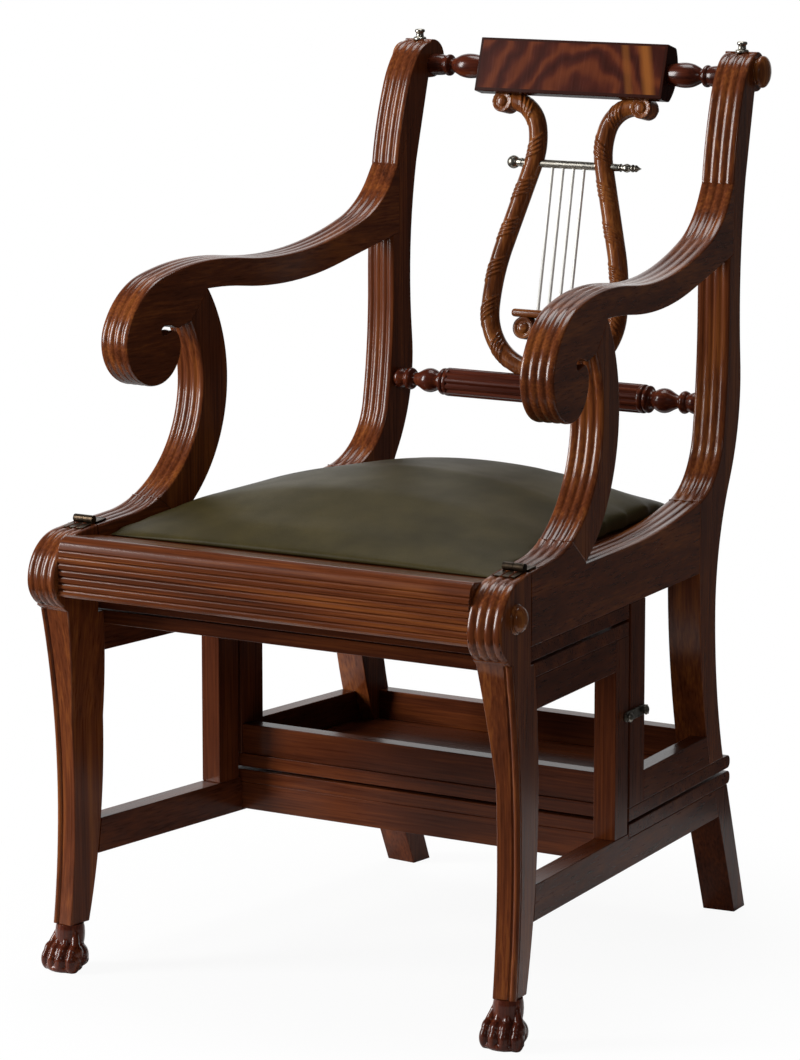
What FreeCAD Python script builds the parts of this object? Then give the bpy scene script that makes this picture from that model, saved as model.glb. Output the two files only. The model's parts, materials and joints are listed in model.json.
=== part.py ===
import FreeCAD, Part
import math
import os

# A lyre-back armchair that turns over into library steps.
# Millimetres. The floor is z = 0, the chair faces -Y and the origin is under its middle.
# Each side frame is drawn in its own upright plane: u runs back from the hinge line, v is the
# height above the floor. Both planes lean in towards the back by the taper.

SIZES = {
    # the side planes and the hinge line
    "hinge_height": 450.0,
    "hinge_setback": 247.6,
    "half_span": 243.5,
    "taper": 5.48,
    "member_width": 35.0,
    "block_gap": 0.5,
    "rail_gap": 1.0,
    "split_gap": 3.0,
    "glue_gap": 0.15,
    "running_gap": 0.08,
    "housing": 5.0,
    # reeding
    "reed_count": 4,
    "reed_depth": 2.2,
    # arm support: part of a ring that springs from the hinge height
    "support_centre_u": 41.0,
    "support_front_radius": 120.0,
    "support_depth": 39.0,
    "support_foot_angle": 24.4,
    "support_head_angle": 120.6,
    "toe_slope": 5.0,
    # arm
    "arm_crest_u": 182.0,
    "arm_crest_rise": 241.0,
    "arm_thickness": 30.0,
    "arm_crown_radius": 300.0,
    "arm_brow_radius": 85.0,
    "scroll_outer_radius": 45.0,
    "scroll_mid_radius": 40.0,
    "scroll_eye_radius": 20.0,
    "scroll_tip": 8.0,
    "scroll_notch": 9.0,
    "arm_back_radius": 400.0,
    "arm_dip_radius": 420.0,
    "arm_rise_radius": 95.0,
    "tenon_thickness": 12.0,
    "tenon_length": 22.0,
    "stub_thickness": 9.0,
    "tenon_shoulder": 6.0,
    "arm_tenon_height": 26.0,
    # side seat rail
    "rail_top": "=hinge_height - 15",
    "rail_bottom": "=hinge_height - 74",
    "rail_end_u": 406.0,
    "rail_sweep_radius": 987.0,
    "rail_sweep_angle": 10.0,
    "rail_tenon_height": 36.0,
    # back upright with the upper rear leg
    "upright_sweep_radius": 72.0,
    "upright_sweep_angle": 71.0,
    "upright_low_radius": 777.0,
    "upright_low_angle": 9.6,
    "upright_mid_radius": 886.0,
    "upright_mid_angle": 8.1,
    "upright_high_radius": 391.0,
    "upright_high_angle": 12.4,
    "upright_neck_radius": 107.0,
    "upright_neck_angle": 17.9,
    "upright_brow_radius": 37.4,
    "upright_brow_angle": 43.8,
    "upright_scroll_radius": 20.0,
    "upright_depth": 34.5,
    "leg_knee_depth": 44.0,
    "leg_knee_height": "=hinge_height - 120",
    "leg_seat_depth": 79.0,
    "leg_foot_u": 441.0,
    "leg_foot_depth": 35.0,
    # front leg with its rounded block
    "block_top_drop": 3.0,
    "block_top_run": 25.0,
    "block_brow_radius": 48.0,
    "block_chin_radius": 30.0,
    "leg_front_top_u": -46.0,
    "leg_front_top": "=hinge_height - 84",
    "leg_ankle_front_u": -34.0,
    "leg_ankle_depth": 28.0,
    "ankle_height": 46.0,
    "leg_width": 22.5,
    "leg_taper_end": 250.0,
    "leg_shoulder_u": 8.0,
    "paw_width": 42.0,
    "paw_front": 24.0,
    "paw_back": 22.0,
    "paw_height": 27.0,
    "toe_groove": 4.0,
    "roundel_u": -33.0,
    "roundel_height": "=hinge_height - 42",
    "roundel_radius": 16.0,
    "roundel_rise": 9.0,
    # reeded front rail
    "front_rail_face": -62.0,
    "front_rail_back": -3.0,
    "front_rail_bottom": "=hinge_height - 66",
    "front_rail_top": "=hinge_height - 8",
    "front_rail_fall": 6.0,
    "front_rail_round": 13.0,
    "front_rail_reeds": 7,
    "front_tenon_height": 30.0,
    "front_tenon_length": 18.0,
    # treads, posts, rails and aprons of the steps
    "upper_split": "=hinge_height - 89.5",
    "lower_split": 157.0,
    "tread_thickness": 13.5,
    "tread_break_u": 229.5,
    "tread_nose_u": 494.0,
    "post_width": 23.0,
    "post_depth": 32.0,
    "post_tenon": 12.0,
    "apron_thickness": 18.0,
    "apron_height": 31.0,
    "step_apron_setback": 150.0,
    "lower_rail_bottom": 112.0,
    "lower_rail_top": 147.0,
    "foot_floor_front_u": 512.0,
    "foot_floor_depth": 29.0,
    # seat
    "seat_board_thickness": 10.0,
    "cushion_bottom": "=hinge_height - 16",
    "cushion_front": 4.0,
    "cushion_back": 418.0,
    "cushion_gap": 1.5,
    "cushion_crown": "=hinge_height + 38",
    "cross_rail_thickness": 22.0,
    # crest and stay rail
    "stay_depth": 480.0,
    "stay_height": "=hinge_height + 86",
    "stay_radius": 15.0,
    "stay_reeds": 12,
    "stay_reeded_half": 114.0,
    "round_tenon_radius": 8.0,
    "round_tenon_length": 22.0,
    "crest_drop": 6.5,
    "crest_half": 111.0,
    "crest_face": 57.0,
    "crest_thickness": 28.0,
    "crest_rake": 16.0,
    "spindle_radius": 13.0,
    "boss_radius": 17.5,
    "boss_rise": 12.0,
    # lyre
    "lyre_foot": 20.0,
    "lyre_foot_half": 14.0,
    "lyre_bowl_radius": 62.0,
    "lyre_flank_radius": 240.0,
    "lyre_flank_angle": 16.0,
    "lyre_waist_radius": 75.0,
    "lyre_waist_angle": 30.0,
    "lyre_shoulder_radius": 34.0,
    "lyre_arm_radius": 10.0,
    "lyre_volute_radius": 12.0,
    "crossbar_share": 0.772,
    "crossbar_radius": 5.0,
    "crossbar_ball_x": 66.0,
    "crossbar_ball_radius": 7.0,
    "crossbar_tip_x": 86.0,
    "string_count": 4,
    "string_spacing": 12.5,
    "string_radius": 2.0,
    "bridge_top": 82.0,
    "bridge_half": 46.0,
    "bridge_cap": 8.5,
    "bridge_depth": 20.0,
    "bridge_volute_radius": 12.0,
    "bridge_volute_x": 30.0,
    # metalwork
    "barrel_radius": 4.0,
    "barrel_length": 23.0,
    "pin_radius": 2.0,
    "leaf_thickness": 2.0,
    "leaf_length": 20.0,
    "hook_pivot_u": 221.0,
    "hook_pivot_height": 266.0,
    "hook_reach": 39.0,
    "hook_thickness": 2.5,
    "hook_half_height": 5.0,
    "hook_clearance": 0.4,
    "hook_pin_radius": 2.5,
    "stud_radius": 4.5,
    "stud_collar_radius": 7.0,
}

SIDES = {"left": -1, "right": 1}
V = FreeCAD.Vector

doc = FreeCAD.newDocument("LyreBackStepsChair")
sheet = doc.addObject("Spreadsheet::Sheet", "sizes")
for row, (alias, value) in enumerate(SIZES.items(), start=1):
    sheet.set(f"A{row}", alias)
    sheet.set(f"B{row}", str(value))
    sheet.setAlias(f"B{row}", alias)
doc.recompute()


def size(alias):
    """A size read from the sheet."""
    return float(sheet.get(alias))


TAPER = math.radians(size("taper"))
HINGE = size("hinge_height")
WIDTH = size("member_width")
OUTER = WIDTH / 2
NEAR_HALF_TURN = 179


def polar(centre, radius, degrees):
    """The point at an angle on a circle."""
    angle = math.radians(degrees)
    return (centre[0] + radius * math.cos(angle), centre[1] + radius * math.sin(angle))


def direction(start, end):
    """The heading from one point to another."""
    return math.degrees(math.atan2(end[1] - start[1], end[0] - start[0]))


def start_heading(edge):
    """The heading at an edge's start: an arc leaves its chord twice as steeply as its middle does."""
    if len(edge) == 2:
        return direction(*edge)
    return 2 * direction(edge[0], edge[1]) - direction(edge[0], edge[2])


class Path:
    """A chain of lines and tangent arcs, drawn as a walk with a heading in degrees."""

    def __init__(self, start, heading=0.0):
        self.at = start
        self.heading = heading
        self.edges = []

    def to(self, end):
        """Draws a line to a point and turns along it."""
        self.heading = direction(self.at, end)
        self.edges.append([self.at, end])
        self.at = end
        return self

    def line(self, length):
        """Draws a line straight on."""
        return self.to(polar(self.at, length, self.heading))

    def arc(self, radius, turn):
        """Draws a tangent arc, to the left for a positive turn."""
        side = math.copysign(90, turn)
        centre = polar(self.at, radius, self.heading + side)
        middle = polar(centre, radius, self.heading - side + turn / 2)
        end = polar(centre, radius, self.heading - side + turn)
        self.edges.append([self.at, middle, end])
        self.at = end
        self.heading += turn
        return self

    def bend(self, end, turn):
        """Draws an arc to a point that turns by an angle on the way."""
        chord = math.dist(self.at, end)
        self.heading = direction(self.at, end) - turn / 2
        return self.arc(chord / 2 / math.sin(math.radians(abs(turn) / 2)), turn)

    def extend(self, edges):
        """Goes on along edges drawn elsewhere."""
        self.edges += edges
        self.at = edges[-1][-1]
        return self

    def backwards(self):
        """The same edges, walked from the end to the start."""
        return [list(reversed(edge)) for edge in reversed(self.edges)]


def draw(sketch, edges):
    """Draws edges of two or three points in a sketch."""
    for edge in edges:
        points = [V(x, y, 0) for x, y in edge]
        curve = Part.LineSegment(*points) if len(points) == 2 else Part.Arc(*points)
        sketch.addGeometry(curve, False)


def polygon(points):
    """The edges of a closed polygon."""
    return [[a, b] for a, b in zip(points, points[1:] + points[:1])]


def rectangle(low_x, high_x, low_y, high_y):
    """The edges of a rectangle."""
    return polygon([(low_x, low_y), (high_x, low_y), (high_x, high_y), (low_x, high_y)])


def new_body(name):
    """A body for one sub-part."""
    body = doc.addObject("PartDesign::Body", name)
    body.Label = name
    return body


def new_sketch(body, name, role, edges):
    """A sketch on one of the body's own planes."""
    sketch = body.newObject("Sketcher::SketchObject", name)
    plane = next(item for item in body.Origin.OriginFeatures if item.Role == role)
    sketch.AttachmentSupport = [(plane, "")]
    sketch.MapMode = "FlatFace"
    draw(sketch, edges)
    return sketch


def pad(body, edges, length, role="YZ_Plane", name="outline"):
    """Pads an outline to both sides of its plane by half a length given as an expression."""
    feature = body.newObject("PartDesign::Pad", name + "_pad")
    feature.Profile = new_sketch(body, name, role, edges)
    feature.Midplane = True
    feature.setExpression("Length", length)
    return feature


def board(name, edges, bottom, thickness):
    """A flat board: an outline in plan, padded up from its bottom face."""
    body = new_body(name)
    feature = body.newObject("PartDesign::Pad", "thickness_pad")
    feature.Profile = new_sketch(body, "plan", "XY_Plane", edges)
    feature.setExpression("Length", thickness)
    body.Placement = FreeCAD.Placement(V(0, -size("hinge_setback"), bottom), FreeCAD.Rotation())
    return body


def pocket(body, edges, role, name):
    """Cuts an outline right through a body."""
    feature = body.newObject("PartDesign::Pocket", name + "_pocket")
    feature.Profile = new_sketch(body, name, role, edges)
    feature.Type = "ThroughAll"
    feature.Midplane = True
    return feature


def reed_section():
    """The space over a row of reeds, across the member and out from its face."""
    count = int(size("reed_count"))
    depth = size("reed_depth")
    pitch = WIDTH / count
    over = depth / 2
    points = [(-OUTER - over, over), (-OUTER - over, -depth)]
    for index in range(count):
        left = -OUTER + index * pitch
        points += [(left, -depth), (left + pitch / 2, 0)]
    points += [(OUTER, -depth), (OUTER + over, -depth), (OUTER + over, over)]
    return polygon(points)


def reed(body, edges, name="reeds"):
    """Runs reeds along edges whose open face lies to the left of the walk."""
    across = V(1, 0, 0)
    out = V(0, *polar((0, 0), 1, start_heading(edges[0]) + 90))
    section = body.newObject("Sketcher::SketchObject", name + "_section")
    section.Placement = FreeCAD.Placement(
        V(0, *edges[0][0]), FreeCAD.Rotation(across, out, across.cross(out), "XYZ"))
    draw(section, reed_section())
    feature = body.newObject("PartDesign::SubtractivePipe", name)
    feature.Profile = section
    feature.Spine = (new_sketch(body, name + "_path", "YZ_Plane", edges), [])
    return feature


def side_placement(side):
    """Where a side frame's plane stands."""
    turn = FreeCAD.Rotation(V(0, 0, 1), SIDES[side] * size("taper"))
    return FreeCAD.Placement(V(SIDES[side] * size("half_span"), -size("hinge_setback"), 0), turn)


def outer_x(depth, inset=0.0):
    """Half the chair's width between the side frames' outer faces, at a depth behind the hinge."""
    return size("half_span") + (OUTER - inset) / math.cos(TAPER) - depth * math.tan(TAPER)


def plan(front, back, inset):
    """A board in plan that follows the taper, from a front depth to a back depth."""
    return polygon([(-outer_x(front, inset), front), (outer_x(front, inset), front),
                    (outer_x(back, inset), back), (-outer_x(back, inset), back)])


finished = {}


def finish(node, item):
    """Names a finished sub-part."""
    item.Label = node
    finished[node] = item
    return item


def cut(name, base, *tools):
    """Takes the tools' solids out of a piece."""
    for index, tool in enumerate(tools):
        piece = doc.addObject("Part::Cut", f"{name}_cut{index}")
        piece.Base = base
        piece.Tool = tool
        base = piece
    return base


def side_rod(name, side, centre, start, end, radius):
    """A round rod across a side frame, between two distances from its middle plane."""
    rod = doc.addObject("Part::Cylinder", name)
    rod.setExpression("Radius", radius)
    rod.Height = end - start
    across = FreeCAD.Placement(V(start, *centre), FreeCAD.Rotation(V(0, 1, 0), 90))
    rod.Placement = side_placement(side) * across
    return rod


def revolved(name, profile, placement):
    """A turned piece: a profile of (distance along the axis, radius), turned about X."""
    body = new_body(name)
    sketch = new_sketch(body, "profile", "XZ_Plane", polygon(profile))
    feature = body.newObject("PartDesign::Revolution", "turning")
    feature.Profile = sketch
    feature.ReferenceAxis = (sketch, ["H_Axis"])
    feature.Angle = 360
    body.Placement = placement
    return body


# Curves that neighbouring members share.
support_centre = (size("support_centre_u"), HINGE + size("support_front_radius"))
support_back_radius = size("support_front_radius") + size("support_depth")
support_foot = polar(support_centre, size("support_front_radius"), size("support_foot_angle") - 90)
support_head = polar(support_centre, size("support_front_radius"), size("support_head_angle") - 90)
arm_crest = (size("arm_crest_u"), HINGE + size("arm_crest_rise"))
arm_under = arm_crest[1] - size("arm_thickness")


def support_back(height):
    """The point on the support's back curve at a height."""
    rise = height - support_centre[1]
    return (support_centre[0] + math.sqrt(support_back_radius ** 2 - rise ** 2), height)


support_heel = support_back(size("rail_top"))
support_crown = support_back(arm_under)
rail_sweep_rise = size("rail_sweep_radius") * (1 - math.cos(math.radians(size("rail_sweep_angle"))))
rail_joint = (size("rail_end_u"), size("rail_top") + rail_sweep_rise)


def upright_front():
    """The reeded front of a back upright, from the seat rail up to its scroll."""
    walk = Path(rail_joint, size("rail_sweep_angle"))
    walk.arc(size("upright_sweep_radius"), size("upright_sweep_angle"))
    walk.arc(size("upright_low_radius"), size("upright_low_angle"))
    for part in ("mid", "high", "neck", "brow"):
        walk.arc(size(f"upright_{part}_radius"), -size(f"upright_{part}_angle"))
    return walk


def front_u(height):
    """How far back the upright's front lies at a height, above the seat."""
    for edge in upright_front().edges[1:]:
        if edge[0][1] <= height <= edge[-1][1]:
            share = (height - edge[0][1]) / (edge[-1][1] - edge[0][1])
            return edge[0][0] + share * (edge[-1][0] - edge[0][0])
    return upright_front().at[0]


scroll_front = upright_front()
scroll_centre = polar(scroll_front.at, size("upright_scroll_radius"), scroll_front.heading - 90)
crest_depth = scroll_centre[0] * math.cos(TAPER) - OUTER * math.sin(TAPER)
crest_height = scroll_centre[1] - size("crest_drop")
foot_top = size("lower_split") + size("split_gap") / 2 + size("tread_thickness")


def make_upright(side):
    """A back upright with the upper part of its rear leg."""
    body = new_body(f"upright_{side}_blank")
    reeded = upright_front()
    outline = Path((size("leg_foot_u"), foot_top))
    outline.bend((size("rail_end_u"), size("rail_bottom")), -18).to(rail_joint)
    outline.extend(reeded.edges)
    outline.heading = reeded.heading
    outline.arc(size("upright_scroll_radius"), -180 - reeded.heading)
    depth = size("upright_depth")
    low = reeded.edges[1][-1]
    high = reeded.edges[2][-1]
    nape = (high[0] + depth, high[1])
    lean = math.tan(math.radians(reeded.heading + size("upright_brow_angle")
                                 + size("upright_neck_angle") + size("upright_high_angle") / 2))
    outline.to((nape[0] + (outline.at[1] - nape[1]) / lean, outline.at[1]))
    outline.to(nape)
    waist = (low[0] + depth, reeded.edges[0][-1][1] + size("upright_sweep_radius"))
    outline.bend(waist, 16)
    outline.bend((size("rail_end_u") + size("leg_seat_depth"), rail_joint[1] + 12), -35)
    outline.bend((size("rail_end_u") + size("leg_knee_depth"), size("leg_knee_height")), 30)
    outline.bend((size("leg_foot_u") + size("leg_foot_depth"), foot_top), 18)
    outline.to((size("leg_foot_u"), foot_top))
    pad(body, outline.edges, "sizes.member_width")
    reed(body, reeded.edges)
    body.Placement = side_placement(side)
    return body


def make_arm(side):
    """An arm with its reeded scroll, housed in the upright behind."""
    body = new_body(f"arm_{side}_blank")
    back = Path(arm_crest, 0)
    back.arc(size("arm_back_radius"), -7).arc(size("arm_dip_radius"), 27).arc(size("arm_rise_radius"), 38)
    seat_u = front_u(back.at[1]) + size("housing")
    back.line((seat_u - back.at[0]) / math.cos(math.radians(back.heading)))
    scroll = Path(arm_crest, 180)
    scroll.arc(size("arm_crown_radius"), 15).arc(size("arm_brow_radius"), 50)
    scroll.arc(size("scroll_outer_radius"), 115).arc(size("scroll_mid_radius"), 85)
    scroll.arc(size("scroll_eye_radius"), 90).line(size("scroll_tip"))
    reeded = back.backwards() + scroll.edges
    outline = Path(back.at).extend(reeded)
    outline.heading = scroll.heading
    outline.arc(size("scroll_notch") / 2, 360 - outline.heading).to(support_head).to(support_crown)
    under = Path((arm_crest[0], arm_under), 0)
    under.arc(size("arm_back_radius") - size("arm_thickness"), -7)
    under.arc(size("arm_dip_radius") + size("arm_thickness"), 20)
    run = seat_u - under.at[0]
    under.line(run / math.cos(math.radians(under.heading)))
    outline.to((arm_crest[0], arm_under)).extend(under.edges).to(back.at)
    pad(body, outline.edges, "sizes.member_width")
    middle = (under.at[1] + back.at[1]) / 2
    half = size("arm_tenon_height") / 2
    tenon = rectangle(seat_u - size("housing"), seat_u + size("tenon_length") - size("housing"),
                      middle - half, middle + half)
    pad(body, tenon, "sizes.tenon_thickness", name="tenon")
    reed(body, outline.backwards()[-len(reeded):])
    body.Placement = side_placement(side)
    return body


def joint_tenon(start, end):
    """A tenon that stands out to the left of a joint line, over its middle half."""
    heading = direction(start, end)
    length = math.dist(start, end)
    low, high = polar(start, length / 4, heading), polar(start, length * 3 / 4, heading)
    reach = size("tenon_length")
    return polygon([low, high, polar(high, reach, heading + 90), polar(low, reach, heading + 90)])


def make_support(side):
    """A curved arm support: part of a reeded ring."""
    body = new_body(f"arm_support_{side}_blank")
    front_turn = size("support_head_angle") - size("support_foot_angle")
    front = Path(support_foot, size("support_foot_angle")).arc(size("support_front_radius"), front_turn)
    heel_angle = direction(support_centre, support_heel)
    crown_angle = direction(support_centre, support_crown)
    rear = Path(support_heel, heel_angle + 90).arc(support_back_radius, crown_angle - heel_angle)
    outline = Path(support_foot).extend(front.edges).to(support_crown).extend(rear.backwards()).to(support_foot)
    pad(body, outline.edges, "sizes.member_width")
    for name, ends in (("foot", (support_heel, support_foot)), ("head", (support_head, support_crown))):
        pad(body, joint_tenon(*ends), "sizes.tenon_thickness", name=f"{name}_tenon")
    reed(body, front.edges)
    body.Placement = side_placement(side)
    return body


def make_seat_rail(side):
    """A side seat rail: a reeded toe at the hinge and a reeded sweep up to the upright."""
    body = new_body(f"seat_rail_{side}_blank")
    gap = size("rail_gap")
    toe_arc = size("support_foot_angle") - size("toe_slope")
    tangent = polar(support_centre, size("support_front_radius"), size("toe_slope") - 90)
    toe_rise = (tangent[0] - gap) * math.tan(math.radians(size("toe_slope")))
    toe = Path((gap, tangent[1] - toe_rise)).to(tangent).arc(size("support_front_radius"), toe_arc)
    sweep_run = size("rail_sweep_radius") * math.sin(math.radians(size("rail_sweep_angle")))
    sweep = Path(support_heel).to((rail_joint[0] - sweep_run, size("rail_top")))
    sweep.arc(size("rail_sweep_radius"), size("rail_sweep_angle"))
    outline = Path((gap, size("rail_bottom"))).to(toe.edges[0][0]).extend(toe.edges)
    outline.to(support_heel).extend(sweep.edges).to((rail_joint[0], size("rail_bottom")))
    outline.to((gap, size("rail_bottom")))
    pad(body, outline.edges, "sizes.member_width")
    middle = (size("rail_bottom") + rail_joint[1]) / 2
    half = size("rail_tenon_height") / 2
    tenon = rectangle(rail_joint[0] - size("tenon_length"), rail_joint[0] + size("tenon_length"),
                      middle - half, middle + half)
    pad(body, tenon, "sizes.tenon_thickness", name="tenon")
    reed(body, toe.edges, "toe_reeds")
    reed(body, sweep.edges, "sweep_reeds")
    body.Placement = side_placement(side)
    return body


def leg_rear():
    """The back edge of a front leg, from the ankle up to the shoulder under tread 2."""
    ankle = (size("leg_ankle_front_u") + size("leg_ankle_depth"), size("ankle_height"))
    return Path(ankle).bend((size("leg_shoulder_u"), size("upper_split") - size("split_gap") / 2), 25)


def leg_rear_u(height):
    """How far behind the hinge line the back edge of a front leg is at a height."""
    start, _, end = leg_rear().edges[0]
    radius = math.dist(start, end) / 2 / math.sin(math.radians(12.5))
    centre = polar(start, radius, direction(start, end) + 77.5)
    return centre[0] + math.sqrt(radius ** 2 - (height - centre[1]) ** 2)


def make_front_leg(side):
    """A sabre front leg with its reeded block."""
    body = new_body(f"front_leg_{side}_blank")
    rear = -size("block_gap")
    shoulder = size("upper_split") - size("split_gap") / 2
    top = HINGE - size("block_top_drop")
    block = Path((rear, top), 187).line(size("block_top_run"))
    block.arc(size("block_brow_radius"), 83).arc(size("block_chin_radius"), 60)
    ankle = size("ankle_height")
    outline = Path((rear, top)).extend(block.edges).to((size("leg_front_top_u"), size("leg_front_top")))
    outline.bend((size("leg_ankle_front_u"), ankle), -20)
    outline.to((size("leg_ankle_front_u") + size("leg_ankle_depth"), ankle)).extend(leg_rear().edges)
    outline.to((rear, shoulder)).to((rear, top))
    pad(body, outline.edges, "sizes.member_width")
    inner = -SIDES[side]
    slim = WIDTH - size("leg_width")
    taper = [(inner * WIDTH, size("leg_front_top")), (inner * OUTER, size("leg_front_top")),
             (inner * (OUTER - slim), size("leg_taper_end")), (inner * (OUTER - slim), 0), (inner * WIDTH, 0)]
    pocket(body, polygon(taper), "XZ_Plane", "taper")
    reed(body, block.backwards())
    body.Placement = side_placement(side)
    return body


def make_paw(side):
    """A carved paw foot under a front leg."""
    ankle = size("ankle_height")
    ankle_front, ankle_back = size("leg_ankle_front_u"), size("leg_ankle_front_u") + size("leg_ankle_depth")
    centre = OUTER - size("leg_width") / 2
    half = size("leg_width") / 2
    wide = size("paw_width") / 2
    middle = (ankle_front + ankle_back) / 2 - size("paw_back") / 3
    levels = [
        (0.0, wide * 0.92, middle - size("paw_front") * 0.94, middle + size("paw_back") * 0.9),
        (size("paw_height") * 0.3, wide, middle - size("paw_front"), middle + size("paw_back")),
        (size("paw_height") * 0.75, wide * 0.9, middle - size("paw_front") * 0.8, middle + size("paw_back")),
        (size("paw_height") * 1.25, half * 0.8, ankle_front + 3, ankle_back - 3),
        (ankle, half * 0.86, ankle_front + 2, ankle_back - 2),
    ]
    loops = []
    for height, reach, front, back in levels:
        corner = reach * 0.4
        points = [(-reach + corner, front), (reach - corner, front), (reach, front + corner),
                  (reach, back - corner), (reach - corner, back), (-reach + corner, back),
                  (-reach, back - corner), (-reach, front + corner)]
        loops.append([V(SIDES[side] * centre + x, y, height) for x, y in points])
    facets = [loops[0], loops[-1]]
    for below, above in zip(loops, loops[1:]):
        for index in range(len(below)):
            facets.append([below[index - 1], below[index], above[index], above[index - 1]])
    solid = Part.Solid(Part.Shell([Part.Face(Part.makePolygon(loop + loop[:1])) for loop in facets]))
    groove = size("toe_groove")
    for share in (-0.5, 0.0, 0.5):
        x = SIDES[side] * centre + share * wide
        face_y = middle - size("paw_front")
        notch = Part.makePolygon([V(x - groove / 2, face_y - groove, 0), V(x, face_y + groove, 0),
                                  V(x + groove / 2, face_y - groove, 0), V(x - groove / 2, face_y - groove, 0)])
        solid = solid.cut(Part.Face(notch).extrude(V(0, 0, size("paw_height"))))
    paw = doc.addObject("Part::Feature", f"paw_foot_{side}")
    paw.Shape = solid
    paw.Placement = side_placement(side)
    return paw


def dome(name, side, centre, radius, rise):
    """A turned roundel on a side frame's outer face."""
    profile = [(0, 0), (0, radius), (rise * 0.35, radius), (rise, radius * 0.45), (rise, 0)]
    turn = FreeCAD.Rotation(V(0, 0, 1), 0 if SIDES[side] > 0 else 180)
    place = side_placement(side) * FreeCAD.Placement(V(SIDES[side] * OUTER, *centre), turn)
    return revolved(name, profile, place)


def make_front_rail():
    """The reeded front rail with its tenons."""
    body = new_body("front_rail")
    face, back = size("front_rail_face"), size("front_rail_back")
    bottom, top = size("front_rail_bottom"), size("front_rail_top")
    rounding = size("front_rail_round")
    reeds = int(size("front_rail_reeds"))
    pitch = (top - rounding - bottom) / reeds
    depth = size("reed_depth") * 0.8
    bevel = pitch / 4
    points = [(back, bottom), (face + depth, bottom)]
    for index in range(reeds):
        low = bottom + index * pitch
        points += [(face, low + bevel), (face, low + pitch - bevel), (face + depth, low + pitch)]
    outline = Path(points[0])
    for point in points[1:]:
        outline.to(point)
    outline.bend((face + rounding, top), -80).to((back, top - size("front_rail_fall"))).to(points[0])
    inner = size("half_span") - OUTER / math.cos(TAPER)
    reach = inner - face * math.tan(TAPER)
    main = pad(body, outline.edges, "sizes.half_span")
    main.setExpression("Length", "2 * (sizes.half_span + sizes.member_width)")
    ends = []
    for sign in (-1, 1):
        far = sign * (reach + 3 * WIDTH)
        ends.append(polygon([(sign * (inner - (face - WIDTH) * math.tan(TAPER)), face - WIDTH), (far, face - WIDTH),
                             (far, WIDTH), (sign * (inner - WIDTH * math.tan(TAPER)), WIDTH)]))
    pocket(body, ends[0] + ends[1], "XY_Plane", "ends")
    half = size("front_tenon_height") / 2
    middle = (bottom + top - rounding) / 2
    spine = (face + back) / 2
    tenon = rectangle(spine - size("tenon_thickness") / 2, spine + size("tenon_thickness") / 2,
                      middle - half, middle + half)
    bar = pad(body, tenon, "sizes.half_span", name="tenon")
    bar.setExpression("Length", "2 * (sizes.half_span - sizes.member_width / 2 + sizes.front_tenon_length)")
    body.Placement = FreeCAD.Placement(V(0, -size("hinge_setback"), 0), FreeCAD.Rotation())
    return body


def side_block(name, side, outline, width, inset=0.0):
    """A plain side piece: an outline in the side plane, flush with the outer face unless inset."""
    body = new_body(name)
    pad(body, outline, f"sizes.{width}")
    middle = SIDES[side] * (OUTER - size(width) / 2 - inset)
    body.Placement = side_placement(side) * FreeCAD.Placement(V(middle, 0, 0), FreeCAD.Rotation())
    return body


post_front = size("tread_break_u") - size("post_depth")
gap_half = size("split_gap") / 2
tread_one_top = size("lower_split") - gap_half
tread_one_bottom = tread_one_top - size("tread_thickness")
tread_two_top = size("upper_split") - gap_half
tread_two_bottom = tread_two_top - size("tread_thickness")
tread_three_bottom = size("upper_split") + gap_half
tread_four_bottom = size("lower_split") + gap_half
back_break = size("tread_break_u") + size("split_gap")


def foot_edge(height, back):
    """A rear foot's front or back edge at a height: it splays back to the floor."""
    floor = size("foot_floor_front_u") + (size("foot_floor_depth") if back else 0)
    head = size("leg_foot_u") + (size("leg_foot_depth") if back else 0)
    lean = (floor - head) / foot_top
    return floor - lean * height


def tenoned(name, blank, against, tenon):
    """A piece whose end is scribed to its neighbour's curve, with a tenon that enters it."""
    scribed = cut(f"{name}_scribed", blank, against)
    whole = doc.addObject("Part::Fuse", f"{name}_tenoned")
    whole.Base = scribed
    whole.Tool = tenon
    return whole


def stub(name, side, low_u, high_u, low_v, high_v):
    """A tenon in the side plane, under the outer face."""
    return side_block(name, side, rectangle(low_u, high_u, low_v, high_v), "stub_thickness",
                      size("stub_thickness") / 2)


def nose(body):
    """Rounds the two long edges at a board's back."""
    doc.recompute()
    blank = body.Tip
    box = blank.Shape.BoundBox
    picked = []
    for number, edge in enumerate(blank.Shape.Edges, start=1):
        middle = edge.BoundBox
        if middle.YMin > box.YMax - 0.1 and middle.XLength > middle.ZLength:
            picked.append(f"Edge{number}")
    feature = body.newObject("PartDesign::Fillet", "nose")
    feature.Base = (blank, picked)
    feature.setExpression("Radius", "sizes.tread_thickness * 0.45")


def cross_board(name, front, thickness, bottom, height, inset):
    """A board across the chair with its ends cut to the taper."""
    return board(name, plan(front, front + size(thickness), inset), bottom, height)


def group(name, pieces):
    """Like pieces kept together."""
    holder = doc.addObject("Part::Compound", name)
    holder.Links = pieces
    return finish(name, holder)


def cross_rod(name, start, end, depth, height, radius):
    """A round rod across the chair."""
    rod = doc.addObject("Part::Cylinder", name)
    rod.setExpression("Radius", radius)
    rod.Height = end - start
    rod.Placement = FreeCAD.Placement(V(start, depth - size("hinge_setback"), height),
                                      FreeCAD.Rotation(V(0, 1, 0), 90))
    return rod


def inner_x(depth):
    """Half the clear width between the side frames."""
    return outer_x(depth, WIDTH)


def crossing(depth, height):
    """A placement on a cross axis of the chair."""
    return FreeCAD.Placement(V(0, depth - size("hinge_setback"), height), FreeCAD.Rotation())


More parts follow.
